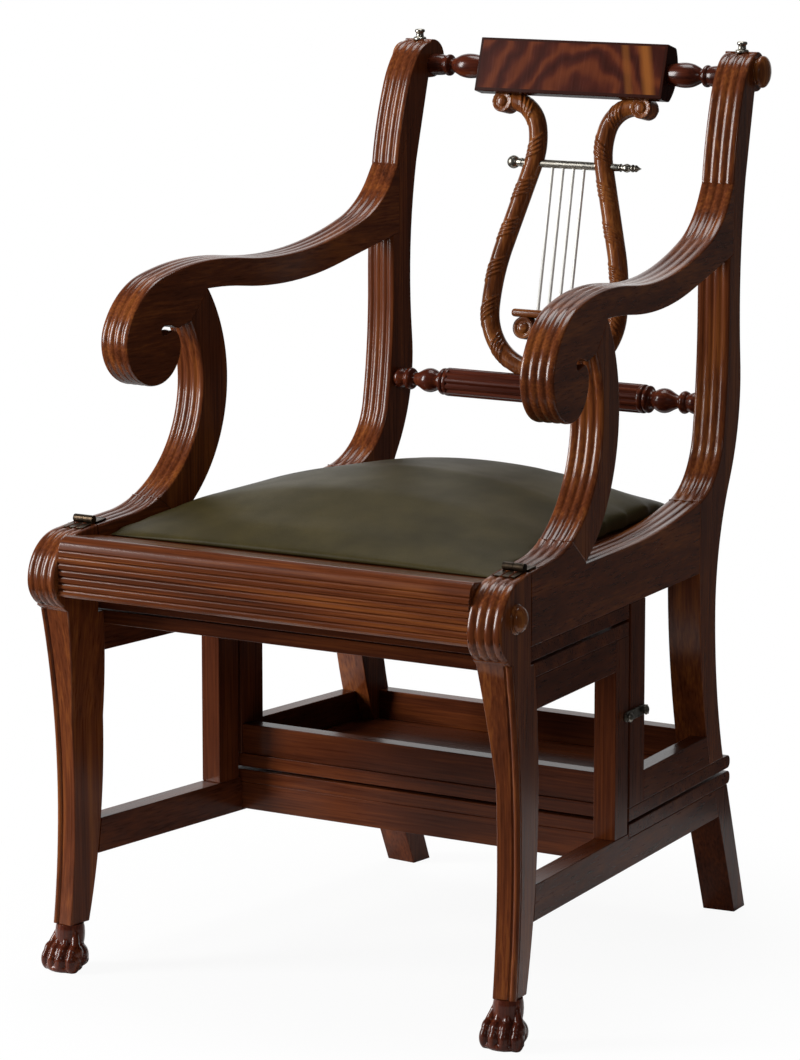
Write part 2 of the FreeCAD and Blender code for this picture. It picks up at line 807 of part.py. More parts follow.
def make_stay_rail():
    """The stay rail under the lyre: reeded in the middle, turned at the ends."""
    reach = inner_x(size("stay_depth"))
    radius = size("stay_radius")
    half = size("stay_reeded_half")
    neck = size("round_tenon_radius") + 1
    room = reach - half
    rings = [(half, neck), (half, radius + 2), (half + room * 0.14, radius + 2), (half + room * 0.14, neck)]
    rings += [(half + room * 0.42, radius - 2), (reach - size("housing") / 2, size("round_tenon_radius"))]
    tenon = reach + size("round_tenon_length")
    right = rings + [(tenon, size("round_tenon_radius"))]
    left = [(-x, r) for x, r in reversed(right)]
    profile = [(-tenon, 0)] + left + right + [(tenon, 0)]
    body = revolved("stay_rail", profile, crossing(size("stay_depth"), size("stay_height")))
    count = int(size("stay_reeds"))
    star = []
    for index in range(2 * count):
        reach_out = radius if index % 2 else radius * 0.9
        star.append(polar((0, 0), reach_out, 180 * index / count))
    pad(body, polygon(star), "2 * sizes.stay_reeded_half", name="reeds")
    return finish("stay_rail", body)


def make_spindle(side):
    """A turned end of the crest rail, tenoned into the tablet and the upright."""
    sign = SIDES[side]
    start = size("crest_half")
    reach = inner_x(crest_depth)
    room = reach - start
    radius = size("spindle_radius")
    neck = size("round_tenon_radius") + 0.5
    inside = start - size("round_tenon_length") * 0.8
    rings = [(start, size("round_tenon_radius")), (start, radius + 2), (start + room * 0.12, radius + 2)]
    rings += [(start + room * 0.12, neck), (start + room * 0.45, radius)]
    rings += [(reach - size("housing") / 2, size("round_tenon_radius"))]
    tenon = reach + size("round_tenon_length")
    points = [(inside, 0), (inside, size("round_tenon_radius"))] + rings
    points += [(tenon, size("round_tenon_radius")), (tenon, 0)]
    profile = [(sign * x, r) for x, r in points]
    return revolved(f"crest_spindle_{side}", profile, crossing(crest_depth, crest_height))


def make_crest():
    """The crest tablet: a raked board with a rounded back."""
    body = new_body("crest_tablet_blank")
    half = size("crest_face") / 2
    face = -size("crest_thickness") / 2
    outline = Path((face, -half)).to((face, half)).to((-face * 0.3, half))
    outline.bend((-face * 0.3, -half), -80).to((face, -half))
    pad(body, outline.edges, "2 * sizes.crest_half")
    lean = FreeCAD.Rotation(V(1, 0, 0), -size("crest_rake"))
    body.Placement = FreeCAD.Placement(V(0, crest_depth - size("hinge_setback"), crest_height), lean)
    return body


def lyre_room():
    """How far the crest's underside is from the stay rail's axis, and the lean in degrees of a line between them."""
    rake = math.radians(size("crest_rake"))
    half = size("crest_face") / 2
    run = crest_depth - half * math.sin(rake) - size("stay_depth")
    rise = crest_height - half * math.cos(rake) - size("stay_height")
    return math.hypot(run, rise), math.degrees(math.atan2(run, rise))


def crossbar_rise():
    """How high the lyre's crossbar stands over the stay rail's axis."""
    return size("crossbar_share") * lyre_room()[0]


def lyre_placement():
    """The lyre's own plane: it stands on the stay rail and leans back."""
    lean = FreeCAD.Rotation(V(1, 0, 0), -lyre_room()[1])
    return FreeCAD.Placement(V(0, size("stay_depth") - size("hinge_setback"), size("stay_height")), lean)


def disc(centre, radius):
    """A circle drawn as three arcs."""
    walk = Path((centre[0], centre[1] - radius), 0)
    for _ in range(3):
        walk.arc(radius, 120)
    return walk.edges


def make_lyre_arm(side):
    """One arm of the lyre, a six-sided bar swept along its curve, with a volute at the top."""
    sign = SIDES[side]
    body = new_body(f"lyre_arm_{side}_blank")
    heading = 0 if sign > 0 else 180
    walk = Path((0, size("lyre_foot")), heading).line(size("lyre_foot_half"))
    walk.arc(size("lyre_bowl_radius"), sign * 90)
    walk.arc(size("lyre_flank_radius"), sign * size("lyre_flank_angle"))
    flank = math.radians(size("lyre_flank_angle"))
    waist = math.radians(size("lyre_flank_angle") - size("lyre_waist_angle"))
    bends = size("lyre_waist_radius") * (math.sin(flank) - math.sin(waist))
    bends += size("lyre_shoulder_radius") * (1 + math.sin(waist))
    top = lyre_room()[0] - size("lyre_arm_radius") + size("housing") / 2
    walk.line((top - walk.at[1] - bends) / math.cos(flank))
    walk.arc(size("lyre_waist_radius"), -sign * size("lyre_waist_angle"))
    walk.arc(size("lyre_shoulder_radius"), -sign * (90 + size("lyre_flank_angle") - size("lyre_waist_angle")))
    section = body.newObject("Sketcher::SketchObject", "bar_section")
    section.Placement = FreeCAD.Placement(V(0, 0, size("lyre_foot")), FreeCAD.Rotation(V(0, 1, 0), 90))
    draw(section, polygon([polar((0, 0), size("lyre_arm_radius"), 30 + 60 * index) for index in range(6)]))
    sweep = body.newObject("PartDesign::AdditivePipe", "bar")
    sweep.Profile = section
    sweep.Spine = (new_sketch(body, "bar_path", "XZ_Plane", walk.edges), [])
    radius = size("lyre_volute_radius")
    eye = (walk.at[0] + sign * radius, walk.at[1] + size("lyre_arm_radius") - radius)
    pad(body, disc(eye, radius), "2 * sizes.lyre_arm_radius", "XZ_Plane", "volute")
    body.Placement = lyre_placement()
    return body


def make_bridge():
    """The bridge: a cap over two volutes and a stem."""
    body = new_body("lyre_bridge")
    top = size("bridge_top")
    under = top - size("bridge_cap")
    half = size("bridge_half")
    stem = size("lyre_foot_half")
    foot = size("lyre_foot") + size("lyre_arm_radius") * math.cos(math.radians(30))
    cap = polygon([(-half, under), (-stem, under), (-stem, foot), (stem, foot), (stem, under), (half, under),
                   (half, top), (-half, top)])
    pad(body, cap, "sizes.bridge_depth", "XZ_Plane", "cap")
    for name, sign in SIDES.items():
        radius = size("bridge_volute_radius")
        eye = (sign * size("bridge_volute_x"), under - radius + 1)
        volute = [polar(eye, radius, 22.5 + 45 * index) for index in range(8)]
        pad(body, polygon(volute), "sizes.bridge_depth * 0.8", "XZ_Plane", f"{name}_volute")
    body.Placement = lyre_placement()
    return body


def make_crossbar():
    """The lyre's crossbar with a ball at one end and a finial at the other."""
    bar = size("crossbar_radius")
    ball = size("crossbar_ball_radius")
    left = -size("crossbar_ball_x")
    tip = size("crossbar_tip_x")
    points = [(left - ball, 0), (left - ball, ball), (left + ball, ball), (left + ball, bar), (tip * 0.7, bar),
              (tip * 0.7, ball), (tip, bar * 0.5), (tip, 0)]
    place = lyre_placement() * FreeCAD.Placement(V(0, 0, crossbar_rise()), FreeCAD.Rotation())
    return finish("lyre_crossbar", revolved("lyre_crossbar", points, place))


def make_strings():
    """The lyre's strings, from the bridge up into the crossbar."""
    count = int(size("string_count"))
    low = size("bridge_top")
    strings = []
    for index in range(count):
        rod = doc.addObject("Part::Prism", f"lyre_string_{index}")
        rod.Polygon = 6
        rod.setExpression("Circumradius", "sizes.string_radius")
        rod.Height = crossbar_rise() - size("crossbar_radius") - low
        x = (index - (count - 1) / 2) * size("string_spacing")
        rod.Placement = lyre_placement() * FreeCAD.Placement(V(x, 0, low), FreeCAD.Rotation())
        strings.append(rod)
    return group("lyre_strings", strings)


def make_cushion():
    """The crowned drop-in seat: sections across the chair, lofted from front to back."""
    bottom = size("cushion_bottom")
    rise = size("cushion_crown") - bottom
    front, back = size("cushion_front"), size("cushion_back")
    stations = [(0.0, 0.06, 0.10), (0.1, 0.16, 0.40), (0.3, 0.30, 0.84), (0.55, 0.34, 1.0), (0.85, 0.30, 0.82),
                (1.0, 0.12, 0.24)]
    wires = []
    for share, edge, crown in stations:
        depth = front + share * (back - front)
        half = inner_x(depth) - size("cushion_gap")
        y = depth - size("hinge_setback")
        low_left, low_right = V(-half, y, bottom), V(half, y, bottom)
        left, right = V(-half, y, bottom + edge * rise), V(half, y, bottom + edge * rise)
        arch = Part.Arc(right, V(0, y, bottom + crown * rise), left).toShape()
        wires.append(Part.Wire([Part.makeLine(left, low_left), Part.makeLine(low_left, low_right),
                                Part.makeLine(low_right, right), arch]))
    cushion = doc.addObject("Part::Feature", "seat_cushion")
    cushion.Shape = Part.makeLoft(wires, True, True)
    cushion.Placement = FreeCAD.Placement()
    return finish("seat_cushion", cushion)


def hinge_leaf(name, side, slope, turned, knuckles, pinned):
    """One leaf of a hinge with its knuckles, let into the wood along a slope. One leaf holds the pin."""
    length = size("barrel_length")
    outer = size("barrel_radius")
    thick = size("leaf_thickness")
    reach = outer * 1.15
    shape = Part.makeBox(length, size("leaf_length") - reach, thick, V(-length / 2, reach, -outer - thick / 2))
    for low, high in knuckles:
        start = -length / 2 + low * length + size("hook_clearance") / 4
        span = (high - low) * length - size("hook_clearance") / 2
        knuckle = Part.makeCylinder(outer, span, V(start, 0, 0), V(1, 0, 0))
        tab = Part.makeBox(span, reach, thick, V(start, 0, -outer - thick / 2))
        shape = shape.fuse([knuckle, tab])
    radius = size("pin_radius") + (0 if pinned else size("running_gap"))
    pin = Part.makeCylinder(radius, length * 0.9, V(-length * 0.45, 0, 0), V(1, 0, 0))
    shape = shape.fuse(pin) if pinned else shape.cut(pin)
    leaf = doc.addObject("Part::Feature", name)
    leaf.Shape = shape.removeSplitter()
    centre = V(SIDES[side] * size("half_span"), -size("hinge_setback"), HINGE)
    turn = FreeCAD.Rotation(V(0, 0, 1), 180 if turned else 0) * FreeCAD.Rotation(V(1, 0, 0), slope)
    leaf.Placement = FreeCAD.Placement(centre, turn)
    return leaf


def make_hook(side):
    """A flat hook that swings on the front post and drops over the rear post's stud."""
    body = new_body(f"hook_{side}")
    pivot = (size("hook_pivot_u"), size("hook_pivot_height"))
    half = size("hook_half_height")
    reach = size("hook_reach")
    grip = size("hook_pin_radius") + size("hook_clearance")
    stud_u = pivot[0] + reach
    top, low = pivot[1] + half, pivot[1] - half
    outline = Path((pivot[0], low)).bend((pivot[0], top), -NEAR_HALF_TURN).to((stud_u, top))
    outline.to((stud_u + 2 * half, top - half * 0.4)).to((stud_u + 2.6 * half, low - half * 0.4))
    outline.to((stud_u + 1.6 * half, low)).to((stud_u + grip, low)).to((stud_u + grip, pivot[1]))
    outline.bend((stud_u - grip, pivot[1]), NEAR_HALF_TURN).to((stud_u - grip, low)).to((pivot[0], low))
    pad(body, outline.edges, "sizes.hook_thickness")
    pocket(body, disc(pivot, size("hook_pin_radius") + size("running_gap")), "YZ_Plane", "eye")
    out = SIDES[side] * (OUTER + size("hook_clearance") + size("hook_thickness") / 2)
    body.Placement = side_placement(side) * FreeCAD.Placement(V(out, 0, 0), FreeCAD.Rotation())
    return finish(f"hook_{side}", body)


def glide_stud(side):
    """A metal stud on top of an upright, the foot of the steps."""
    top = 2 * HINGE
    seat = scroll_centre[1] + size("upright_scroll_radius") - 1
    profile = [(seat, 0), (seat, size("stud_collar_radius")), (top, size("stud_radius")), (top, 0)]
    place = side_placement(side) * FreeCAD.Placement(V(0, scroll_centre[0], 0), FreeCAD.Rotation(V(0, 1, 0), -90))
    return revolved(f"glide_stud_{side}", profile, place)


# The pieces, then the joints between them.
stay_rail = make_stay_rail()
crest_blank = make_crest()
group("crest_spindles", [make_spindle(side) for side in SIDES])
make_strings()
make_cushion()
crossbar_hole = cross_rod("crossbar_hole", -size("crossbar_ball_x") + size("crossbar_ball_radius"),
                          size("crossbar_tip_x") * 0.66, 0, 0, "sizes.crossbar_radius + sizes.glue_gap")
crossbar_hole.Placement = lyre_placement() * FreeCAD.Placement(
    V(-size("crossbar_ball_x") * 0.85, 0, crossbar_rise()), FreeCAD.Rotation(V(0, 1, 0), 90))
make_crossbar()
stay_saddle = cross_rod("stay_saddle", -size("stay_reeded_half"), size("stay_reeded_half"),
                        size("stay_depth"), size("stay_height"), "sizes.stay_radius")
lyre_arms = {}
for side in SIDES:
    lyre_arms[side] = finish(f"lyre_arm_{side}", cut(f"lyre_arm_{side}", make_lyre_arm(side), stay_saddle,
                                                    crossbar_hole, crest_blank))
finish("lyre_bridge", make_bridge())
crest_holes = {}
for side, sign in SIDES.items():
    inside = sign * (size("crest_half") - size("round_tenon_length") * 0.8)
    outside = sign * (inner_x(crest_depth) + size("round_tenon_length") + 0.5)
    crest_holes[side] = cross_rod(f"crest_hole_{side}", min(inside, outside), max(inside, outside),
                                  crest_depth, crest_height,
                                  "sizes.round_tenon_radius + sizes.glue_gap")
crest = finish("crest_tablet", cut("crest_tablet", crest_blank, crest_holes["left"], crest_holes["right"]))

front_rail = finish("front_rail", make_front_rail())
seat_front_rail = finish("seat_front_rail", cross_board(
    "seat_front_rail", size("cushion_front"), "cross_rail_thickness", size("rail_bottom"),
    "sizes.cushion_bottom - sizes.seat_board_thickness - sizes.rail_bottom", WIDTH - size("housing")))
seat_rear_rail = finish("seat_rear_rail", cross_board(
    "seat_rear_rail", size("rail_end_u") + size("housing"), "cross_rail_thickness", size("rail_bottom"),
    "sizes.cushion_bottom - sizes.seat_board_thickness - sizes.rail_bottom", WIDTH - size("housing")))
finish("seat_board", board("seat_board", plan(size("cushion_front"), size("cushion_back"),
                                              WIDTH + size("cushion_gap")),
                           size("cushion_bottom") - size("seat_board_thickness"), "sizes.seat_board_thickness"))

tread_one = board("tread_1_blank", plan(back_break, size("tread_nose_u"), 0), tread_one_bottom, "sizes.tread_thickness")
nose(tread_one)
tread_two = board("tread_2_blank", plan(size("leg_shoulder_u") + 1, size("tread_break_u") - 1, 0), tread_two_bottom,
                  "sizes.tread_thickness")
tread_three = board("tread_3_blank", plan(size("rail_gap") + 0.5, size("tread_break_u") - 1, 0), tread_three_bottom,
                    "sizes.rail_bottom - sizes.upper_split - sizes.split_gap / 2")
tread_four = board("tread_4_blank", plan(back_break, size("tread_nose_u"), 0), tread_four_bottom,
                   "sizes.tread_thickness")
nose(tread_four)
apron_front = size("leg_shoulder_u") + size("step_apron_setback")
lower_apron_height = "sizes.lower_split - sizes.split_gap / 2 - sizes.tread_thickness - sizes.lower_rail_bottom - 2"
step_apron = finish("tread_2_front_apron", cross_board(
    "tread_2_front_apron", apron_front, "apron_thickness", tread_two_bottom - size("apron_height"),
    "sizes.apron_height", size("apron_thickness") - size("housing")))
lower_front_apron = finish("lower_front_apron", cross_board(
    "lower_front_apron", back_break, "apron_thickness", size("lower_rail_bottom") + 2, lower_apron_height,
    size("post_width") - size("housing")))
lower_rear_apron = finish("lower_rear_apron", cross_board(
    "lower_rear_apron", size("leg_foot_u") - size("apron_thickness"), "apron_thickness",
    size("lower_rail_bottom") + 2, lower_apron_height, size("post_width") - size("housing")))
tray_front_apron = finish("tray_front_apron", cross_board(
    "tray_front_apron", back_break + 2, "apron_thickness", foot_top, "sizes.apron_height",
    size("post_width") - size("housing")))
tray_rear_apron = finish("tray_rear_apron", cross_board(
    "tray_rear_apron", size("leg_foot_u") + size("leg_foot_depth") - 10 - size("apron_thickness"), "apron_thickness",
    foot_top, "sizes.apron_height", WIDTH - size("housing")))

leaves_base, leaves_upper = [], []
roundels, bosses = [], []
pivots, catches, studs = [], [], []
for side, sign in SIDES.items():
    upright_blank = make_upright(side)
    arm_blank = make_arm(side)
    support_blank = make_support(side)
    seat_rail_blank = make_seat_rail(side)
    leg_blank = make_front_leg(side)
    paw_blank = make_paw(side)

    finish(f"arm_{side}", cut(f"arm_{side}", arm_blank, support_blank))
    finish(f"arm_support_{side}", support_blank)

    # hinge leaves on the block's top and on the rail's toe
    half_barrel = size("barrel_length") / 2
    x = sign * size("half_span")
    base_leaf = hinge_leaf(f"base_leaf_{side}", side, -7, True, [(0, 0.5)], True)
    upper_leaf = hinge_leaf(f"upper_leaf_{side}", side, size("toe_slope"), False, [(0, 0.5)], False)
    leaves_base.append(base_leaf)
    leaves_upper.append(upper_leaf)
    barrel_room = cross_rod(f"barrel_room_{side}", x - half_barrel - 0.5, x + half_barrel + 0.5, 0, HINGE,
                            "sizes.barrel_radius * 1.6")

    # posts, rails and feet
    shoulder = size("lower_rail_top")
    front_post = side_block(f"front_post_{side}_blank", side,
                            rectangle(post_front, size("tread_break_u") - 1, shoulder, tread_two_bottom), "post_width")
    front_stub = stub(f"front_post_stub_{side}", side, post_front + size("tenon_shoulder"),
                      size("tread_break_u") - 1 - size("tenon_shoulder"),
                      shoulder - size("post_tenon"), tread_two_bottom + size("tread_thickness") / 2)
    rear_post = side_block(f"rear_post_{side}_blank", side,
                           rectangle(back_break, back_break + size("post_depth") + 4, foot_top, size("rail_bottom")),
                           "post_width")
    rear_stub = stub(f"rear_post_stub_{side}", side, back_break + size("tenon_shoulder"),
                     back_break + size("post_depth") + 4 - size("tenon_shoulder"),
                     foot_top - size("tread_thickness") / 2, size("rail_bottom") + size("post_tenon"))
    posts = {}
    for name, post, tenon in (("front", front_post, front_stub), ("rear", rear_post, rear_stub)):
        posts[name] = doc.addObject("Part::Fuse", f"{name}_post_{side}_tenoned")
        posts[name].Base = post
        posts[name].Tool = tenon

    bottom = size("lower_rail_bottom")
    rail = Path((leg_rear_u(bottom), bottom))
    rail.to((leg_rear_u(shoulder), shoulder)).to((back_break - size("rail_gap"), shoulder))
    rail.to((back_break - size("rail_gap"), tread_one_bottom))
    rail.to((foot_edge(tread_one_bottom, False), tread_one_bottom)).to((foot_edge(bottom, False), bottom))
    rail.to((leg_rear_u(bottom), bottom))
    lower_blank = side_block(f"lower_rail_{side}_blank", side, rail.edges, "post_width")
    lower_stub = stub(f"lower_rail_stub_{side}", side, size("leg_ankle_front_u") + size("leg_ankle_depth") / 2 + 6,
                      foot_edge(bottom, False) + 6, bottom + 6, tread_one_bottom - 6)
    lower = tenoned(f"lower_rail_{side}", lower_blank, leg_blank, lower_stub)
    finish(f"lower_rail_{side}", cut(f"lower_rail_{side}", lower, posts["front"], lower_front_apron,
                                     lower_rear_apron))
    foot_blank = side_block(f"rear_foot_{side}_blank", side, polygon([
        (foot_edge(0, False), 0), (foot_edge(0, True), 0), (foot_edge(tread_one_bottom, True), tread_one_bottom),
        (foot_edge(tread_one_bottom, False), tread_one_bottom)]), "member_width")
    finish(f"rear_foot_{side}", cut(f"rear_foot_{side}", foot_blank, lower))

    low = tread_two_bottom - size("apron_height")
    apron_blank = side_block(f"tread_apron_{side}_blank", side,
                             rectangle(size("leg_shoulder_u") - 4, post_front, low, tread_two_bottom), "apron_thickness")
    apron_stub = stub(f"tread_apron_stub_{side}", side, size("leg_shoulder_u") - 8, post_front + 10, low + 8,
                      tread_two_bottom - 8)
    apron = tenoned(f"tread_apron_{side}", apron_blank, leg_blank, apron_stub)
    finish(f"tread_2_side_apron_{side}", cut(f"tread_apron_{side}", apron, step_apron))
    finish(f"front_post_{side}", cut(f"front_post_{side}", posts["front"], apron))

    tray_blank = side_block(f"tray_apron_{side}_blank", side,
                            rectangle(back_break + size("post_depth") + 4, size("leg_foot_u") + 8, foot_top,
                                      foot_top + size("apron_height")), "apron_thickness")
    tray_stub = stub(f"tray_apron_stub_{side}", side, back_break + size("post_depth") - 6, size("leg_foot_u") + 8,
                     foot_top + 8, foot_top + size("apron_height") - 8)
    tray = tenoned(f"tray_apron_{side}", tray_blank, upright_blank, tray_stub)
    finish(f"tray_side_apron_{side}", tray)
    rear_post = finish(f"rear_post_{side}", cut(f"rear_post_{side}", posts["rear"], tray, tray_front_apron))

    # the hook with its pivot and catch
    pivot = (size("hook_pivot_u"), size("hook_pivot_height"))
    catch = (pivot[0] + size("hook_reach"), pivot[1])
    depth = sorted((sign * (OUTER - size("post_width") / 2), sign * (OUTER + 2 * size("hook_thickness"))))
    pivots.append(side_rod(f"hook_pivot_{side}", side, pivot, *depth, "sizes.hook_pin_radius"))
    catches.append(side_rod(f"hook_catch_{side}", side, catch, *depth, "sizes.hook_pin_radius"))
    make_hook(side)
    finish(f"front_post_{side}", cut(f"front_post_{side}_drilled", finished[f"front_post_{side}"], pivots[-1]))
    finish(f"rear_post_{side}", cut(f"rear_post_{side}_drilled", finished[f"rear_post_{side}"], catches[-1]))

    # front leg, paw and roundel
    ankle_u = size("leg_ankle_front_u") + size("leg_ankle_depth") / 2
    half_tenon = size("stub_thickness") / 2
    ankle_tenon = side_block(f"ankle_tenon_{side}", side, rectangle(
        ankle_u - half_tenon, ankle_u + half_tenon, size("ankle_height") - size("post_tenon"),
        size("ankle_height") + size("post_tenon")), "stub_thickness", size("leg_width") / 2 - half_tenon)
    finish(f"paw_foot_{side}", cut(f"paw_foot_{side}", paw_blank, ankle_tenon))
    leg = doc.addObject("Part::Fuse", f"front_leg_{side}_tenoned")
    leg.Base = leg_blank
    leg.Tool = ankle_tenon
    roundels.append(dome(f"leg_roundel_{side}", side, (size("roundel_u"), size("roundel_height")),
                         size("roundel_radius"), size("roundel_rise")))
    finish(f"front_leg_{side}", cut(f"front_leg_{side}", leg, front_rail, lower_stub, apron_stub, barrel_room,
                                    base_leaf))

    # seat rail and upright
    finish(f"seat_rail_{side}", cut(f"seat_rail_{side}", seat_rail_blank, support_blank, seat_front_rail, posts["rear"],
                                    barrel_room, upper_leaf))
    bosses.append(dome(f"crest_boss_{side}", side, scroll_centre, size("boss_radius"), size("boss_rise")))
    studs.append(glide_stud(side))
    stay_end = inner_x(size("stay_depth"))
    ends = sorted((sign * (stay_end - 3 * size("housing")), sign * (stay_end + size("round_tenon_length") + 0.5)))
    stay_hole = cross_rod(f"stay_hole_{side}", *ends, size("stay_depth"), size("stay_height"),
                          "sizes.round_tenon_radius + sizes.glue_gap")
    finish(f"upright_{side}", cut(f"upright_{side}", upright_blank, seat_rail_blank, arm_blank, seat_rear_rail,
                                  tray_rear_apron, tray_stub, stay_hole, crest_holes[side], studs[-1]))

finish("tread_1", tread_one)
finish("tread_2", cut("tread_2", tread_two, finished["front_post_left"], finished["front_post_right"],
                      finished["front_leg_left"], finished["front_leg_right"]))
finish("tread_3", tread_three)
finish("tread_4", cut("tread_4", tread_four, finished["rear_post_left"], finished["rear_post_right"]))
for name, pieces in (("leg_roundels", roundels), ("crest_bosses", bosses), ("hinge_base_leaves", leaves_base),
                     ("hinge_upper_leaves", leaves_upper), ("hook_pivots", pivots), ("hook_catches", catches),
                     ("glide_studs", studs)):
    group(name, pieces)

doc.recompute()
for item in doc.Objects:
    if "Invalid" in item.State or "Error" in item.State:
        raise RuntimeError(f"{item.Label} did not build: {item.State}")
os.makedirs("parts", exist_ok=True)
for node, item in finished.items():
    if item.Shape.isNull() or not item.Shape.isValid():
        raise RuntimeError(f"{node} has no valid shape")
    item.Shape.exportStep(f"parts/{node}.step")
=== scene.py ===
"""The looks of a lyre-back armchair that turns over into library steps, built around its CAD frame."""

import json
import logging
import math
from collections.abc import Iterator, Sequence
from contextlib import contextmanager
from dataclasses import dataclass
from enum import Enum

import bmesh
import bpy
from mathutils import Matrix, Vector

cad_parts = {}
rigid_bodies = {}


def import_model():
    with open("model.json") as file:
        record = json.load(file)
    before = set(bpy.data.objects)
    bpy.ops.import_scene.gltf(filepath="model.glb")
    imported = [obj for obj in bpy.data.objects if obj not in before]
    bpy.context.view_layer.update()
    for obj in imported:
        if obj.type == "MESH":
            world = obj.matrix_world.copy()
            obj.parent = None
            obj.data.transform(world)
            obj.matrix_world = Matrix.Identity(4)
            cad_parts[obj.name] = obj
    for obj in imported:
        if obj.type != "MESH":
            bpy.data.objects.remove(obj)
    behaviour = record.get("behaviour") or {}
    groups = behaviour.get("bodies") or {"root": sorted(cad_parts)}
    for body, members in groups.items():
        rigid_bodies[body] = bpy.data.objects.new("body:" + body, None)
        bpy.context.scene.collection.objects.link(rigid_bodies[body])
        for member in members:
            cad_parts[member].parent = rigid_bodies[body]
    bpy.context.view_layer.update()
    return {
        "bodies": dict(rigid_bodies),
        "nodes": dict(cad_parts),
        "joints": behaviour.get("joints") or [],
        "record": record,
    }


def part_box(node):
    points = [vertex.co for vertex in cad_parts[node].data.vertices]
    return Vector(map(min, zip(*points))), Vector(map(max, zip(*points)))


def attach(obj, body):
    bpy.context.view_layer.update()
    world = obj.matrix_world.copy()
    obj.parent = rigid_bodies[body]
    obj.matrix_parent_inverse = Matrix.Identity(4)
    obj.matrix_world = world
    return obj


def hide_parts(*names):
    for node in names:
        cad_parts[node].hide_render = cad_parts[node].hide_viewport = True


LOG = logging.getLogger("armchair")
MM = 0.001
SIDES = {"left": -1, "right": 1}

# The side frames' plan, as in the part, in millimetres: half the span at the hinge line, how far that line is
# in front of the origin, the frames' taper as an angle, and half a member's thickness.
HALF_SPAN = 243.5
HINGE_SETBACK = 247.6
TAPER = math.radians(5.48)
MEMBER_HALF = 17.5

# The polish on all the wood: little shine from the wood itself, and a thin clear coat over it.
BASE_SPECULAR = 0.05
POLISH_IOR = 1.35

Point = tuple[float, float]
Place = tuple[float, float, float]
Node = bpy.types.Node
Socket = bpy.types.NodeSocket
Tree = bpy.types.NodeTree
Material = bpy.types.Material
Object = bpy.types.Object
Stop = tuple[float, str]


class Grain(Enum):
    """The chair's axis that a board's fibres follow."""

    ACROSS = 0
    DEPTH = 1
    UPRIGHT = 2


class Body(Enum):
    """The moving bodies of the frame."""

    BASE = "base"
    UPPER = "upper"
    HOOK_LEFT = "hook_left"
    HOOK_RIGHT = "hook_right"


def linear(hex_colour: str) -> tuple[float, float, float, float]:
    """Turn an sRGB hex colour into linear light.

    Args:
        hex_colour: Six hex digits after a hash sign.

    Returns:
        Red, green, blue and a full alpha.
    """
    parts = [int(hex_colour[i:i + 2], 16) / 255 for i in (1, 3, 5)]
    red, green, blue = [c / 12.92 if c <= 0.04045 else ((c + 0.055) / 1.055) ** 2.4 for c in parts]
    return red, green, blue, 1.0


def feed(node: Node, values: dict) -> Node:
    """Set a node's attributes and inputs.

    Args:
        node: The node.
        values: Plain values, and sockets to link, by attribute name or by an input's name or number.

    Returns:
        The node.
    """
    inputs = {key: value for key, value in values.items() if isinstance(key, int) or key in node.inputs}
    for key, value in values.items():
        if key not in inputs:
            setattr(node, key, value)
    for key, value in inputs.items():
        if isinstance(value, Socket):
            node.id_data.links.new(value, node.inputs[key])
        else:
            node.inputs[key].default_value = value
    return node


def add_node(tree: Tree, kind: str, values: dict | None = None, stops: Sequence[Stop] = ()) -> Node:
    """Add a node with its settings and links.

    Args:
        tree: The node tree that gets it.
        kind: Its type, without the prefix that all shader nodes share.
        values: Its attributes and inputs, as for feed.
        stops: A colour ramp's places from 0 to 1, with their hex colours.

    Returns:
        The new node.
    """
    node = feed(tree.nodes.new(f"ShaderNode{kind}"), values or {})
    while stops and len(node.color_ramp.elements) < len(stops):
        node.color_ramp.elements.new(0.5)
    for index, (place, colour) in enumerate(stops):
        node.color_ramp.elements[index].position = place
        node.color_ramp.elements[index].color = linear(colour)
    return node


def new_material(name: str) -> tuple[Material, Tree, Node, Socket]:
    """Make a material with one principled shader.

    Args:
        name: The material's name.

    Returns:
        The material, its node tree, its shader and the object's own coordinates.
    """
    material = bpy.data.materials.new(name)
    material.use_nodes = True
    tree = material.node_tree
    return material, tree, tree.nodes["Principled BSDF"], add_node(tree, "TexCoord").outputs["Object"]


def grain_scale(grain: Grain, across: float, along: float) -> Place:
    """Scale of a pattern that is drawn out along the fibres.

    Args:
        grain: The fibres' axis.
        across: The pattern's size across the fibres, in millimetres.
        along: The pattern's size along the fibres, in millimetres.

    Returns:
        The three scales for a mapping node, per metre.
    """
    scales = [1 / (across * MM)] * 3
    scales[grain.value] = 1 / (along * MM)
    return scales[0], scales[1], scales[2]


